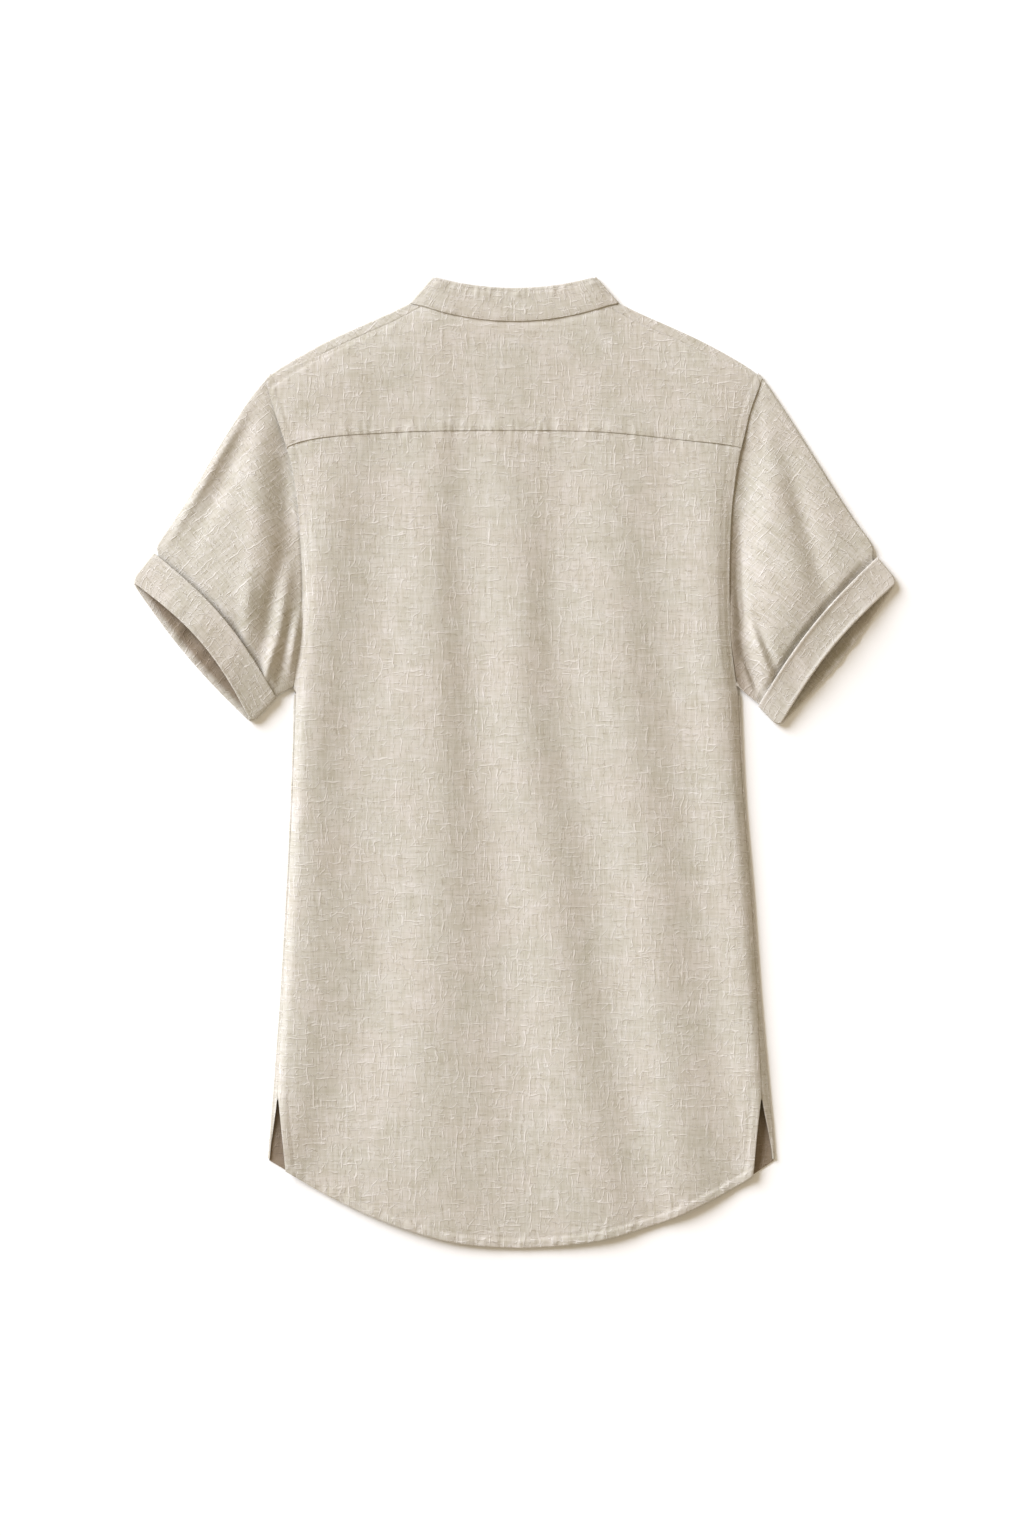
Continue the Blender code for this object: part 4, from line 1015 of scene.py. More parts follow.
def placket_panel(wall, level):
    """One band of the half placket at the centre front."""
    across, across_share = paced(((0, 1), (2 * PLACKET_HALF, 3)), wall / 2, wall / 2)
    up, up_share = paced(((0, 3), (NECK_FRONT_Y + 2 - PLACKET_END, 5)), wall / 2, wall / 2)
    x, y = np.meshgrid(across - PLACKET_HALF, PLACKET_END + up)
    stitched = bump(np.abs(x) - PLACKET_HALF + 2.5, 0.6)
    middle = np.stack([x, y, GROUND + level + 0.15 * stitched], axis=2)
    half = wall / 2 * up_share[:, None] * across_share[None, :]
    return cloth_data(middle, half, middle[..., :2] + PLACKET_CUT)


# Buttons and stitches

def make_button(name, x, y, material):
    """A round shirt button with a raised rim, a dished face and four holes, its face to the ground."""
    radius, height = BUTTON_DIAMETER / 2 * MM, BUTTON_HEIGHT * MM
    button = make_cylinder(x, y, 48, radius, height * 0.82)
    bpy.ops.object.transform_apply(location=True, rotation=False, scale=False)
    bpy.ops.object.mode_set(mode="EDIT")
    bpy.ops.mesh.select_mode(type="FACE")
    bpy.ops.mesh.select_all(action="DESELECT")
    shape = bmesh.from_edit_mesh(button.data)
    for face in shape.faces:
        face.select_set(face.normal.z < -0.5)
    bmesh.update_edit_mesh(button.data)
    bpy.ops.mesh.inset(thickness=radius * 0.24)
    bpy.ops.mesh.inset(thickness=radius * 0.10)
    bpy.ops.transform.translate(value=(0, 0, height * 0.24))
    bpy.ops.mesh.inset(thickness=radius * 0.05)
    bpy.ops.object.mode_set(mode="OBJECT")
    away = HOLE_FROM_MIDDLE
    for dx, dy in ((-away, -away), (-away, away), (away, -away), (away, away)):
        drill = make_cylinder(x + dx, y + dy, 16, radius * 0.13, height * 3)
        bpy.context.view_layer.objects.active = button
        hole = button.modifiers.new("hole", "BOOLEAN")
        hole.operation, hole.object = "DIFFERENCE", drill
        bpy.ops.object.modifier_apply(modifier=hole.name)
        bpy.data.objects.remove(drill, do_unlink=True)
    edge = button.modifiers.new("round edge", "BEVEL")
    edge.width, edge.segments, edge.limit_method = height * 0.1, 2, "ANGLE"
    edge.angle_limit = math.radians(40)
    bpy.ops.object.modifier_apply(modifier=edge.name)
    bpy.ops.object.select_all(action="DESELECT")
    button.select_set(True)
    bpy.ops.object.shade_smooth_by_angle(angle=math.radians(35))
    button.name = button.data.name = name
    button.data.materials.clear()
    button.data.materials.append(material)
    return button


def make_cylinder(x, y, sides, radius, depth):
    """An upright cylinder round the middle of a button, left as the only one selected."""
    bpy.ops.object.select_all(action="DESELECT")
    bpy.ops.mesh.primitive_cylinder_add(vertices=sides, radius=radius, depth=depth,
                                        location=(x * MM, y * MM, BUTTON_HEIGHT * MM / 2))
    return bpy.context.object


STITCH_SHAPE = ((0, 0.12), (0.25, 0.9), (0.5, 1.0), (0.75, 0.9), (1, 0.12))  # along a stitch, its thickness


def laid_line(piece, line):
    """A run of points in plan, dropped onto the piece from above: the points and the way out at each."""
    run = lengths(line)
    at = np.linspace(0, run[-1], max(int(run[-1] / 1.5), 2))
    places, outs = [], []
    for x, y in zip(np.interp(at, run, line[:, 0]), np.interp(at, run, line[:, 1])):
        hit, place, out, _ = piece.ray_cast((x * MM, y * MM, 0.1), (0, 0, -1))
        if hit:
            places.append(np.array(place) / MM)
            outs.append(np.array(out))
    return np.array(places), np.array(outs)


def stitch_lines():
    """The rows of stitches that show on the back: name, the piece sewn through, and runs of x and y."""
    back, yoke = [], []
    for side, sign in EDGES:
        low = np.linspace(ARMPIT + 8, YOKE_END - 0.6, 60)
        high = np.linspace(320, 366, 16)
        for rows, y in ((back, low), (yoke, high)):
            rows.append(np.column_stack([side_edge(y, side) + sign * ARM_STITCH, y]))
        y = np.linspace(BACK_SLITS[0][0] + 12, SLIT_TOP + 6, 30)
        back.append(np.column_stack([along(BACK_SLITS, y, side) + sign * SLIT_TURN, y]))
        seam, out = shoulder_rows()[1:, 3:5], shoulder_rows()[1:, 5:7]
        yoke.append((seam - out * SHOULDER_STITCH) * (-sign, 1))
    x = np.linspace(BACK_SLITS[0][1] + 3, BACK_SLITS[0][2] - 3, 120)
    back.append(np.column_stack([x, along(HEM, x) + HEM_TURN]))
    x = np.linspace(YOKE_SEAM[0][0] + 9, YOKE_SEAM[-1][0] - 9, 120)
    yoke.append(np.column_stack([x, along(YOKE_SEAM, x) + YOKE_STITCH]))
    x = np.linspace(4 - COLLAR_SEAM_HALF, COLLAR_SEAM_HALF - 4, 80)
    top_x = x * COLLAR_EDGE_HALF / COLLAR_SEAM_HALF
    collar = [np.column_stack([x, collar_seam(x) + COLLAR_BASE_STITCH]),
              np.column_stack([top_x, collar_edge(top_x) - COLLAR_STITCH])]
    return ("back_stitches", "back_panel", back), ("yoke_stitches", "yoke_panel", yoke), (
        "collar_stitches", "collar_stand", collar)


def make_stitching(name, lines, length, gap, width, material):
    """Rows of sewing thread: each line is a run of points on the cloth with the way out of it at each."""
    points, faces = [], []
    shares, thicknesses = np.array(STITCH_SHAPE).T
    angles = np.radians(np.arange(0, 360, 60))[:, None]
    for places, outs in lines:
        run = lengths(places)
        count = int(run[-1] // (length + gap))
        pitch = run[-1] / max(count, 1)
        for number in range(count):
            at = number * pitch + shares * (pitch - gap) + gap / 2
            middle = np.stack([np.interp(at, run, axis) for axis in places.T], axis=1)
            out = unit(np.stack([np.interp(at[2], run, axis) for axis in outs.T]))
            beside = np.cross(unit(middle[-1] - middle[0]), out)
            ring = beside * np.cos(angles) + out * np.sin(angles) * 0.7
            base, sides = len(points), len(ring)
            for place, thick in zip(middle, thicknesses):
                points.extend(place + out * (width * 0.5 * (thick - 0.35)) + ring * (width / 2 * thick))
            for start in range(base, len(points) - sides, sides):
                for side in range(sides):
                    a, b = start + side, start + (side + 1) % sides
                    faces.append((a, b, b + sides, a + sides))
            faces.append(tuple(range(base + sides - 1, base - 1, -1)))
            faces.append(tuple(range(len(points) - sides, len(points))))
    mesh = bpy.data.meshes.new(name)
    mesh.from_pydata((np.array(points) * MM).tolist(), [], faces)
    mesh.shade_smooth()
    shape = bmesh.new()
    shape.from_mesh(mesh)
    bmesh.ops.recalc_face_normals(shape, faces=shape.faces)
    shape.to_mesh(mesh)
    shape.free()
    return place_mesh(name, mesh, material)


# Finishes

def add(tree, kind, sockets=(), **options):
    """A node with its options, each socket set to a value or linked to another node's output."""
    made = tree.nodes.new("ShaderNode" + kind)
    for key, value in options.items():
        setattr(made, key, value)
    for key, value in dict(sockets).items():
        if isinstance(value, bpy.types.NodeSocket):
            tree.links.new(value, made.inputs[key])
        else:
            made.inputs[key].default_value = value
    return made


def maths(tree, operation, *values):
    """The result of an operation on numbers."""
    return add(tree, "Math", enumerate(values), operation=operation).outputs[0]


def vectors(tree, operation, *values):
    """The result of an operation on vectors."""
    return add(tree, "VectorMath", enumerate(values), operation=operation).outputs[0]


def smooth_step(tree, value, low, high, to_low=0.0, to_high=1.0):
    """A number carried over smoothly from one range to another."""
    return add(tree, "MapRange", enumerate((value, low, high, to_low, to_high)),
               interpolation_type="SMOOTHSTEP").outputs[0]


def noise(tree, place, scale, detail=2.0, roughness=0.5, colour=False):
    """Smooth noise round a half at a place, as one number or as three."""
    made = add(tree, "TexNoise", {"Vector": place, "Scale": scale, "Detail": detail, "Roughness": roughness})
    return made.outputs["Color" if colour else "Fac"]


def blend(tree, factor, a, b, kind="MIX"):
    """One colour laid over another."""
    return add(tree, "Mix", {0: factor, 6: a, 7: b}, data_type="RGBA", blend_type=kind).outputs[2]


def stray(tree, place, seeded, scale, reach):
    """The place, moved aside by up to half the reach, smoothly from spot to spot."""
    sway = vectors(tree, "SUBTRACT", noise(tree, seeded, scale, 1, colour=True), (0.5, 0.5, 0.5))
    return vectors(tree, "ADD", place, vectors(tree, "MULTIPLY", sway, reach))


def tint(tree, colour, tone):
    """The colour, made lighter or darker by a tone."""
    grey = add(tree, "CombineXYZ", enumerate((tone, tone, tone))).outputs[0]
    return blend(tree, 1.0, colour, grey, "MULTIPLY")


def new_material(name):
    """A new material, the tree of its nodes, and its shader."""
    material = bpy.data.materials.new(name)
    material.use_nodes = True
    return material, material.node_tree, material.node_tree.nodes["Principled BSDF"]


def new_group(name, numbers, outputs):
    """A shader node group that reads a place and some named numbers: its tree, what it is given by name,
    and the node that takes its results."""
    tree = bpy.data.node_groups.new(name, "ShaderNodeTree")
    tree.interface.new_socket("Vector", in_out="INPUT", socket_type="NodeSocketVector")
    for label, value in numbers.items():
        socket = tree.interface.new_socket(label, in_out="INPUT", socket_type="NodeSocketFloat")
        socket.default_value = value
    for label in outputs:
        tree.interface.new_socket(label, in_out="OUTPUT", socket_type="NodeSocketFloat")
    return tree, tree.nodes.new("NodeGroupInput").outputs, tree.nodes.new("NodeGroupOutput")


def place_group(tree, group, sockets):
    """A node that stands for a group."""
    return add(tree, "Group", sockets, node_tree=group)


def slub_lines_group():
    """Thick spots in the yarn: short light lines that run along Y, one at most in each cell."""
    tree, given, result = new_group("Slub lines", {
        "Width": 0.005, "Length": 0.03, "Line": 0.0006, "Chance": 0.6, "Seed": 0.0}, ["Mask"])
    seed = add(tree, "CombineXYZ", {2: given["Seed"]}).outputs[0]
    seeded = vectors(tree, "ADD", given["Vector"], seed)
    moved = stray(tree, given["Vector"], seeded, 70, (0.007, 0.003, 0))
    moved = stray(tree, moved, seeded, 330, (0.0012, 0.001, 0))
    split = add(tree, "SeparateXYZ", {0: moved}).outputs
    across = maths(tree, "DIVIDE", split[0], given["Width"])
    column = maths(tree, "FLOOR", across)
    column_seed = add(tree, "CombineXYZ", {0: column, 1: given["Seed"]}).outputs[0]
    shift = add(tree, "TexWhiteNoise", {0: column_seed}, noise_dimensions="3D").outputs["Value"]
    along_line = maths(tree, "ADD", maths(tree, "DIVIDE", split[1], given["Length"]), shift)
    row = maths(tree, "FLOOR", along_line)
    cell = add(tree, "CombineXYZ", {0: column, 1: row, 2: given["Seed"]}).outputs[0]
    chosen = add(tree, "TexWhiteNoise", {0: cell}, noise_dimensions="3D").outputs["Color"]
    chosen = add(tree, "SeparateColor", {0: chosen}).outputs
    middle = maths(tree, "MULTIPLY_ADD", chosen[0], 0.5, 0.25)
    away = maths(tree, "ABSOLUTE", maths(tree, "SUBTRACT", maths(tree, "FRACT", across), middle))
    line = maths(tree, "DIVIDE", maths(tree, "MULTIPLY", away, given["Width"]), given["Line"])
    line = smooth_step(tree, line, 0.35, 1.0, 1.0, 0.0)
    reach = maths(tree, "MULTIPLY_ADD", chosen[1], 0.34, 0.12)
    end = maths(tree, "ABSOLUTE", maths(tree, "SUBTRACT", maths(tree, "FRACT", along_line), 0.5))
    end = smooth_step(tree, maths(tree, "SUBTRACT", reach, end), 0.0, 0.06)
    there = maths(tree, "LESS_THAN", chosen[2], given["Chance"])
    strength = smooth_step(tree, noise(tree, seeded, 160, 1), 0.35, 0.6, 0.35, 1.0)
    shown = maths(tree, "MULTIPLY", there, strength)
    mask = maths(tree, "MULTIPLY", maths(tree, "MULTIPLY", line, end), shown)
    tree.links.new(mask, result.inputs["Mask"])
    return tree


def slub_web_group():
    """Loose ends that stray between the threads: bits of a net of light lines with square corners."""
    tree, given, result = new_group("Slub web", {
        "Cells": 90.0, "Line": 0.05, "Share": 0.5, "Seed": 0.0}, ["Mask"])
    seed = add(tree, "CombineXYZ", {0: given["Seed"], 1: given["Seed"]}).outputs[0]
    place = vectors(tree, "ADD", given["Vector"], seed)
    moved = stray(tree, place, place, 120, (0.008, 0.008, 0))
    from_edge = add(tree, "TexVoronoi", {"Vector": moved, "Scale": given["Cells"], "Randomness": 0.62},
                    voronoi_dimensions="2D", feature="DISTANCE_TO_EDGE").outputs["Distance"]
    line = smooth_step(tree, maths(tree, "DIVIDE", from_edge, given["Line"]), 0.3, 1.0, 1.0, 0.0)
    hidden = maths(tree, "SUBTRACT", 1.0, given["Share"])
    shown = maths(tree, "SUBTRACT", noise(tree, place, 210, 2, 0.6), hidden)
    mask = maths(tree, "MULTIPLY", line, smooth_step(tree, shown, 0.0, 0.05))
    tree.links.new(mask, result.inputs["Mask"])
    return tree


def weave_group():
    """Plain weave of uneven yarn: streaks along both ways of the cloth, and the rise and fall of the yarn."""
    tree, given, result = new_group("Linen weave", {"Yarn": 0.0009}, ["Streaks", "Height"])
    place = stray(tree, given["Vector"], given["Vector"], 90, (0.0015, 0.0015, 0))
    streaks = 0.0
    for across, along_yarn, share in ((950, 55, 0.26), (330, 24, 0.34)):
        warp, weft = (noise(tree, vectors(tree, "MULTIPLY", place, scales), 1.0, 3, 0.6)
                      for scales in ((across, along_yarn, 1), (along_yarn, across, 1)))
        streaks = maths(tree, "MULTIPLY_ADD", maths(tree, "MULTIPLY_ADD", weft, 0.8, warp), share, streaks)
    split = add(tree, "SeparateXYZ", {0: place})
    turns = [maths(tree, "MULTIPLY", maths(tree, "DIVIDE", axis, given["Yarn"]), math.pi)
             for axis in split.outputs[:2]]
    over = maths(tree, "MULTIPLY", maths(tree, "SINE", turns[0]), maths(tree, "SINE", turns[1]))
    ridge = maths(tree, "ABSOLUTE", maths(tree, "COSINE", turns[0]))
    height = maths(tree, "MULTIPLY_ADD", over, 0.25, maths(tree, "MULTIPLY_ADD", ridge, 0.2, 0.4))
    height = maths(tree, "ADD", height, maths(tree, "MULTIPLY_ADD", streaks, 1.6, -0.85))
    tree.links.new(streaks, result.inputs["Streaks"])
    tree.links.new(height, result.inputs["Height"])
    return tree


# Lines in the yarn: the way they run, the cells they lie in, and how wide and how frequent they are
SLUBS = (
    ("warp", 0.0068, 0.034, 0.00078, 0.42, 1.0), ("weft", 0.0074, 0.030, 0.00076, 0.38, 2.0),
    ("warp", 0.0046, 0.014, 0.00060, 0.34, 3.0), ("weft", 0.0048, 0.013, 0.00060, 0.32, 4.0),
    ("stray", 0.0090, 0.012, 0.00056, 0.32, 5.0),
)
FLECKS = (("warp", 0.0062, 0.009, 0.0006, 0.42, 11.0), ("weft", 0.0062, 0.009, 0.0006, 0.42, 12.0))
YARN_WAYS = {"warp": 0, "weft": 90, "stray": 38}   # degrees


def yarn_lines(tree, group, place, rows):
    """The brightest of several rows of lines, each turned its own way."""
    mask = 0.0
    for way, *numbers in rows:
        turned = add(tree, "Mapping", {0: place, 2: (0, 0, math.radians(YARN_WAYS[way]))}).outputs[0]
        sockets = dict(zip(("Width", "Length", "Line", "Chance", "Seed"), numbers), Vector=turned)
        mask = maths(tree, "MAXIMUM", mask, place_group(tree, group, sockets).outputs[0])
    return mask


def linen_material(name, colours, groups):
    """Cloth of uneven linen yarn, patterned along its own cut."""
    material, tree, shader = new_material(name)
    place = add(tree, "UVMap", {}, uv_map="cut").outputs[0]
    weave = place_group(tree, groups["weave"], {"Vector": place})
    web = place_group(tree, groups["web"], {"Vector": place, "Cells": 95.0, "Seed": 0.7}).outputs[0]
    light = maths(tree, "MAXIMUM", yarn_lines(tree, groups["lines"], place, SLUBS), web)
    dark = yarn_lines(tree, groups["lines"], place, FLECKS)
    hue = noise(tree, vectors(tree, "ADD", place, (3.0, 5.0, 0)), 17, 2, 0.5)
    base = blend(tree, smooth_step(tree, hue, 0.38, 0.64), colours["olive"], colours["rose"])
    mottle = maths(tree, "MULTIPLY_ADD", noise(tree, place, 52, 4, 0.6), 0.34, 0.83)
    streaks = maths(tree, "MULTIPLY_ADD", weave.outputs["Streaks"], 1.3, 0.298)
    tone = maths(tree, "MULTIPLY", mottle, streaks)
    warm = [maths(tree, "POWER", tone, power) for power in (0.94, 1.0, 1.4)]  # dark spots are browner
    base = blend(tree, 1.0, base, add(tree, "CombineXYZ", enumerate(warm)).outputs[0], "MULTIPLY")
    base = blend(tree, maths(tree, "MULTIPLY", dark, 0.5), base, colours["fleck"])
    base = blend(tree, maths(tree, "MULTIPLY", light, 0.54), base, colours["slub"])
    # painted shade and highlight from each piece's attribute: above 0 the cloth is darkened and browned
    # toward the inside colour, below 0 it is lightened toward the slub colour
    shelter = add(tree, "Attribute", {}, attribute_name="shelter").outputs["Fac"]
    base = blend(tree, shelter, base, blend(tree, 1.0, base, colours["inside"], "MULTIPLY"))
    base = blend(tree, maths(tree, "MULTIPLY", shelter, -1), base, colours["slub"])
    relief = maths(tree, "MULTIPLY_ADD", light, 1.3, weave.outputs["Height"])
    raised = add(tree, "Bump", {"Strength": 1.0, "Distance": 0.0003, "Height": relief})
    tree.links.new(base, shader.inputs["Base Color"])
    tree.links.new(maths(tree, "MULTIPLY_ADD", light, -0.12, 0.9), shader.inputs["Roughness"])
    tree.links.new(raised.outputs[0], shader.inputs["Normal"])
    shader.inputs["Sheen Weight"].default_value = 0.12
    shader.inputs["Sheen Roughness"].default_value = 0.5
    shader.inputs["Specular IOR Level"].default_value = 0.25
    return material


def thread_material(name, colour):
    """Sewing thread: two plies that turn round each other."""
    material, tree, shader = new_material(name)
    place = add(tree, "TexCoord").outputs["Object"]
    tone = smooth_step(tree, noise(tree, place, 900, 2), 0.3, 0.7, 0.82, 1.06)
    ply = add(tree, "Bump", {"Strength": 0.5, "Distance": 0.0001, "Height": noise(tree, place, 2600, 1)})
    tree.links.new(tint(tree, colour, tone), shader.inputs["Base Color"])
    tree.links.new(ply.outputs[0], shader.inputs["Normal"])
    shader.inputs["Roughness"].default_value = 0.6
    return material


def button_material(name, colour):
    """Pale horn: cloudy, with fine growth lines, smoothly polished."""
    material, tree, shader = new_material(name)
    place = add(tree, "TexCoord").outputs["Object"]
    clouds = noise(tree, place, 260, 3, 0.6)
    grain = noise(tree, vectors(tree, "MULTIPLY", place, (2600, 260, 260)), 1.0, 3)
    tone = maths(tree, "MULTIPLY_ADD", clouds, 0.4, maths(tree, "MULTIPLY_ADD", grain, 0.25, 0.68))
    tree.links.new(tint(tree, colour, tone), shader.inputs["Base Color"])
    tree.links.new(maths(tree, "MULTIPLY_ADD", clouds, 0.15, 0.24), shader.inputs["Roughness"])
    return material


def floor_material(name, colour):
    """Plain matt paper."""
    material, tree, shader = new_material(name)
    place = add(tree, "TexCoord").outputs["Object"]
    tone = smooth_step(tree, noise(tree, place, 5, 2), 0.3, 0.7, 0.995, 1.005)
    tree.links.new(tint(tree, colour, tone), shader.inputs["Base Color"])
    shader.inputs["Roughness"].default_value = 0.95
    shader.inputs["Specular IOR Level"].default_value = 0.1
    return material


# What a user can change

class ShirtCloth(bpy.types.PropertyGroup):
    """How the cloth is made and sewn."""
    wall: FloatProperty(name="Cloth", description="Thickness of one layer of linen", default=0.0007,
                        unit="LENGTH", subtype="DISTANCE")
    band: FloatProperty(name="Band", description="Thickness of the collar band, two layers sewn together",
                        default=0.0016, unit="LENGTH", subtype="DISTANCE")
    stitch: FloatProperty(name="Stitch", description="Length of one stitch on the outside", default=0.0024,
                          unit="LENGTH", subtype="DISTANCE")
    stitch_gap: FloatProperty(name="Gap", description="Cloth between two stitches", default=0.0007,
                              unit="LENGTH", subtype="DISTANCE")
    thread: FloatProperty(name="Thread", description="Thickness of the sewing thread", default=0.0004,
                          unit="LENGTH", subtype="DISTANCE")


class ShirtColours(bpy.types.PropertyGroup):
    """The colours of the cloth, the thread, the buttons and the floor."""
    olive: FloatVectorProperty(name="Linen, cool", description="Cooler of the two shades of the linen",
                               size=4, subtype="COLOR", default=(0.541, 0.526, 0.462, 1))
    rose: FloatVectorProperty(name="Linen, warm", description="Warmer of the two shades of the linen",
                              size=4, subtype="COLOR", default=(0.560, 0.534, 0.474, 1))
    # the slub colour is also the colour of the painted highlights
    slub: FloatVectorProperty(name="Slubs", description="Thick spots and stray ends of the yarn",
                              size=4, subtype="COLOR", default=(0.82, 0.80, 0.77, 1))
    fleck: FloatVectorProperty(name="Flecks", description="Bits of bark left in the yarn",
                               size=4, subtype="COLOR", default=(0.30, 0.255, 0.185, 1))
    # the colour that painted shade darkens and browns the cloth toward
    inside: FloatVectorProperty(name="Painted shade", description="Tint of cloth that the light never reaches",
                                size=4, subtype="COLOR", default=(0.48, 0.405, 0.335, 1))
    thread: FloatVectorProperty(name="Thread", description="Sewing thread",
                                size=4, subtype="COLOR", default=(0.66, 0.62, 0.54, 1))
    button: FloatVectorProperty(name="Buttons", description="Horn of the buttons",
                                size=4, subtype="COLOR", default=(0.66, 0.58, 0.44, 1))
    floor: FloatVectorProperty(name="Floor", description="The plain floor",
                               size=4, subtype="COLOR", default=(0.96, 0.985, 1.0, 1))


class ShirtStage(bpy.types.PropertyGroup):
    """The floor, the lamps and the camera."""
    camera_height: FloatProperty(name="Camera", description="Height of the camera over the floor",
                                 default=5.12, unit="LENGTH", subtype="DISTANCE")
    lens: FloatProperty(name="Lens", description="Focal length", default=120, unit="CAMERA")
    key: FloatProperty(name="Key", description="Strength of the lamp at the upper left", default=4.65, min=0)
    key_tilt: FloatProperty(name="Key tilt", description="Angle of the key lamp off the vertical",
                            default=math.radians(62), subtype="ANGLE")
    key_spread: FloatProperty(name="Key spread", description="Width of the key lamp as seen from the shirt",
                              default=math.radians(40), subtype="ANGLE")
    fill: FloatProperty(name="Fill", description="Strength of the even light from all round", default=0.52,
                        min=0)


FLOOR_SIZE, FLOOR_LEVEL = 12, -0.0002
KEY_FROM, KEY_COLOUR = (-0.76, 0.65, 0), (0.975, 1.005, 1.11)
FILL_COLOUR = (1.0, 0.81, 0.57, 1)
CAMERA_OVER = (-0.0025, -0.006)


# The pieces' operators

def settings():
    """The cloth, the colours and the stage, as they are set in the scene."""
    scene = bpy.context.scene
    return scene.shirt_cloth, scene.shirt_colours, scene.shirt_stage


def finishes():
    """The materials, made once."""
    if "shirt_linen" not in bpy.data.materials:
        colours = settings()[1]
        groups = {"weave": weave_group(), "lines": slub_lines_group(), "web": slub_web_group()}
        names = ("olive", "rose", "slub", "fleck", "inside")
        shades = {name: tuple(getattr(colours, name)) for name in names}
        linen_material("shirt_linen", shades, groups)
        thread_material("shirt_thread", tuple(colours.thread))
        button_material("shirt_horn", tuple(colours.button))
    return {name: bpy.data.materials["shirt_" + name] for name in ("linen", "thread", "horn")}


def settle(piece, node):
    """Says what the piece rides on, and hides the frame's part that it stands for."""
    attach(piece, "root")
    if node:
        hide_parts(node)


def lay(name, node, wall):
    """A panel of linen, laid in the place of the frame's plain one."""
    panel = make_cloth(name, wall, finishes()["linen"])
    settle(panel, node)
    return panel


class SHIRT_OT_body(bpy.types.Operator):
    """Make the back, the yoke and the front"""
    bl_idname = "shirt.body"
    bl_label = "Body"

    def execute(self, context):
        wall = settings()[0].wall / MM
        front = lay("front_panel", "front", front_panel(wall))
        back = lay("back_panel", "back", back_panel(wall))
        yoke = lay("yoke_panel", "yoke", yoke_panel(wall))
        return {"FINISHED"}


class SHIRT_OT_sleeves(bpy.types.Operator):
    """Make the two sleeves and their turned-back cuffs"""
    bl_idname = "shirt.sleeves"
    bl_label = "Sleeves"

    def execute(self, context):
        wall = settings()[0].wall / MM
        for side in SLEEVES:
            sleeve = lay(f"sleeve_{side}_panel", f"sleeve_{side}", sleeve_panel(side, wall))
            cuff = lay(f"cuff_{side}_panel", f"cuff_{side}", cuff_panel(side, wall * CUFF_THICKER))
        return {"FINISHED"}


class SHIRT_OT_collar(bpy.types.Operator):
    """Make the stand collar"""
    bl_idname = "shirt.collar"
    bl_label = "Collar"

    def execute(self, context):
        band = settings()[0].band / MM
        collar = lay("collar_stand", "collar_band", collar_panel(band))
        return {"FINISHED"}


class SHIRT_OT_closure(bpy.types.Operator):
    """Make the half placket and its buttons"""
    bl_idname = "shirt.closure"
    bl_label = "Placket and buttons"

    def execute(self, context):
        wall = settings()[0].wall / MM
        for node, level in (("placket_over", PLACKET_OVER), ("placket_under", PLACKET_UNDER)):
            band = lay(node + "_band", node, placket_panel(wall, level))
        places = [("button_collar", NECK_FRONT_Y + COLLAR_HEIGHT / 2)]
        places += [(f"button_{number + 1}", y) for number, y in enumerate(BUTTON_YS)]
        for node, y in places:
            button = make_button(node + "_horn", 0, y, finishes()["horn"])
            settle(button, node)
        return {"FINISHED"}


class SHIRT_OT_stitching(bpy.types.Operator):
    """Sew the rows of stitches that show on the back"""
    bl_idname = "shirt.stitching"
    bl_label = "Stitching"

    def execute(self, context):
        cloth = settings()[0]
        sizes = [size / MM for size in (cloth.stitch, cloth.stitch_gap, cloth.thread)]
        thread = finishes()["thread"]
        for name, sewn, lines in stitch_lines():
            laid = [laid_line(bpy.data.objects[sewn], line) for line in lines]
            rows = make_stitching(name, laid, *sizes, thread)
            settle(rows, None)
        return {"FINISHED"}


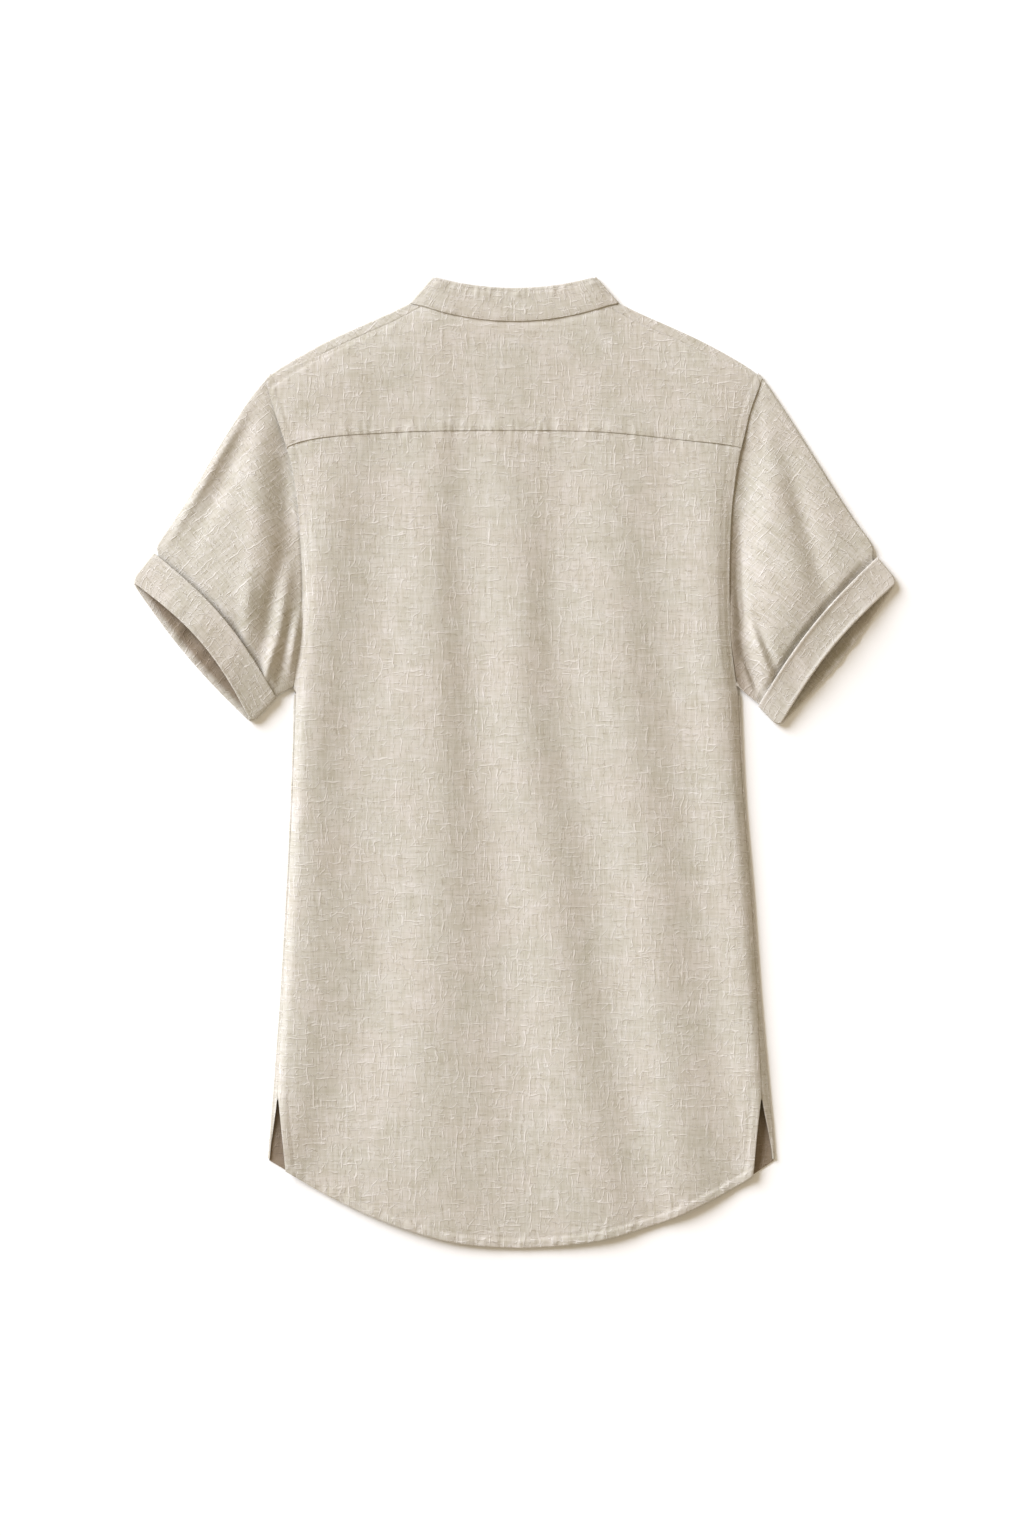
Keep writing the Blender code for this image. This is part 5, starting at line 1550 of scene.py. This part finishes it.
class SHIRT_OT_stage(bpy.types.Operator):
    """Make the floor, the lamps and the camera"""
    bl_idname = "shirt.stage"
    bl_label = "Stage"

    def execute(self, context):
        _, colours, stage = settings()
        bpy.ops.object.select_all(action="DESELECT")
        bpy.ops.mesh.primitive_plane_add(size=FLOOR_SIZE, location=(0, 0, FLOOR_LEVEL))
        floor = context.object
        floor.name = "floor"
        floor.data.materials.append(floor_material("floor", tuple(colours.floor)))
        lamp = bpy.data.lights.new("key", "SUN")
        lamp.energy, lamp.angle = stage.key, stage.key_spread
        lamp.color = KEY_COLOUR
        key = bpy.data.objects.new("key", lamp)
        towards = Vector(KEY_FROM).normalized() * math.sin(stage.key_tilt)
        towards.z = math.cos(stage.key_tilt)
        key.rotation_euler = towards.to_track_quat("Z", "Y").to_euler()
        key.location = towards * 3
        context.scene.collection.objects.link(key)
        world = bpy.data.worlds.new("studio")
        world.use_nodes = True
        background = world.node_tree.nodes["Background"].inputs
        background["Color"].default_value = FILL_COLOUR
        background["Strength"].default_value = stage.fill
        context.scene.world = world
        context.scene.view_settings.view_transform = "Standard"
        lens = bpy.data.cameras.new("camera")
        lens.lens, lens.sensor_width = stage.lens, 36
        camera = bpy.data.objects.new("camera", lens)
        camera.location = (*CAMERA_OVER, stage.camera_height)
        context.scene.collection.objects.link(camera)
        context.scene.camera = camera
        return {"FINISHED"}


class SHIRT_PT_panel(bpy.types.Panel):
    """The shirt's settings and its pieces"""
    bl_idname = "SHIRT_PT_panel"
    bl_label = "Shirt"
    bl_space_type = "VIEW_3D"
    bl_region_type = "UI"
    bl_category = "Shirt"

    def draw(self, context):
        for group in settings():
            box = self.layout.box()
            for name in group.__annotations__:
                box.prop(group, name)
        for operator in OPERATORS:
            self.layout.operator(operator.bl_idname)


OPERATORS = (SHIRT_OT_body, SHIRT_OT_sleeves, SHIRT_OT_collar, SHIRT_OT_closure, SHIRT_OT_stitching,
             SHIRT_OT_stage)
GROUPS = {"shirt_cloth": ShirtCloth, "shirt_colours": ShirtColours, "shirt_stage": ShirtStage}
CLASSES = (*GROUPS.values(), *OPERATORS, SHIRT_PT_panel)


def register():
    """Adds the shirt's operators, settings and panel to Blender."""
    for each in CLASSES:
        bpy.utils.register_class(each)
    for name, group in GROUPS.items():
        setattr(bpy.types.Scene, name, PointerProperty(type=group))


def unregister():
    """Takes them out again."""
    for name in GROUPS:
        delattr(bpy.types.Scene, name)
    for each in reversed(CLASSES):
        bpy.utils.unregister_class(each)


def main():
    """Makes the shirt and its stage."""
    register()
    bpy.ops.shirt.body()
    bpy.ops.shirt.sleeves()
    bpy.ops.shirt.collar()
    bpy.ops.shirt.closure()
    bpy.ops.shirt.stitching()
    bpy.ops.shirt.stage()


if __name__ == "__main__":
    main()
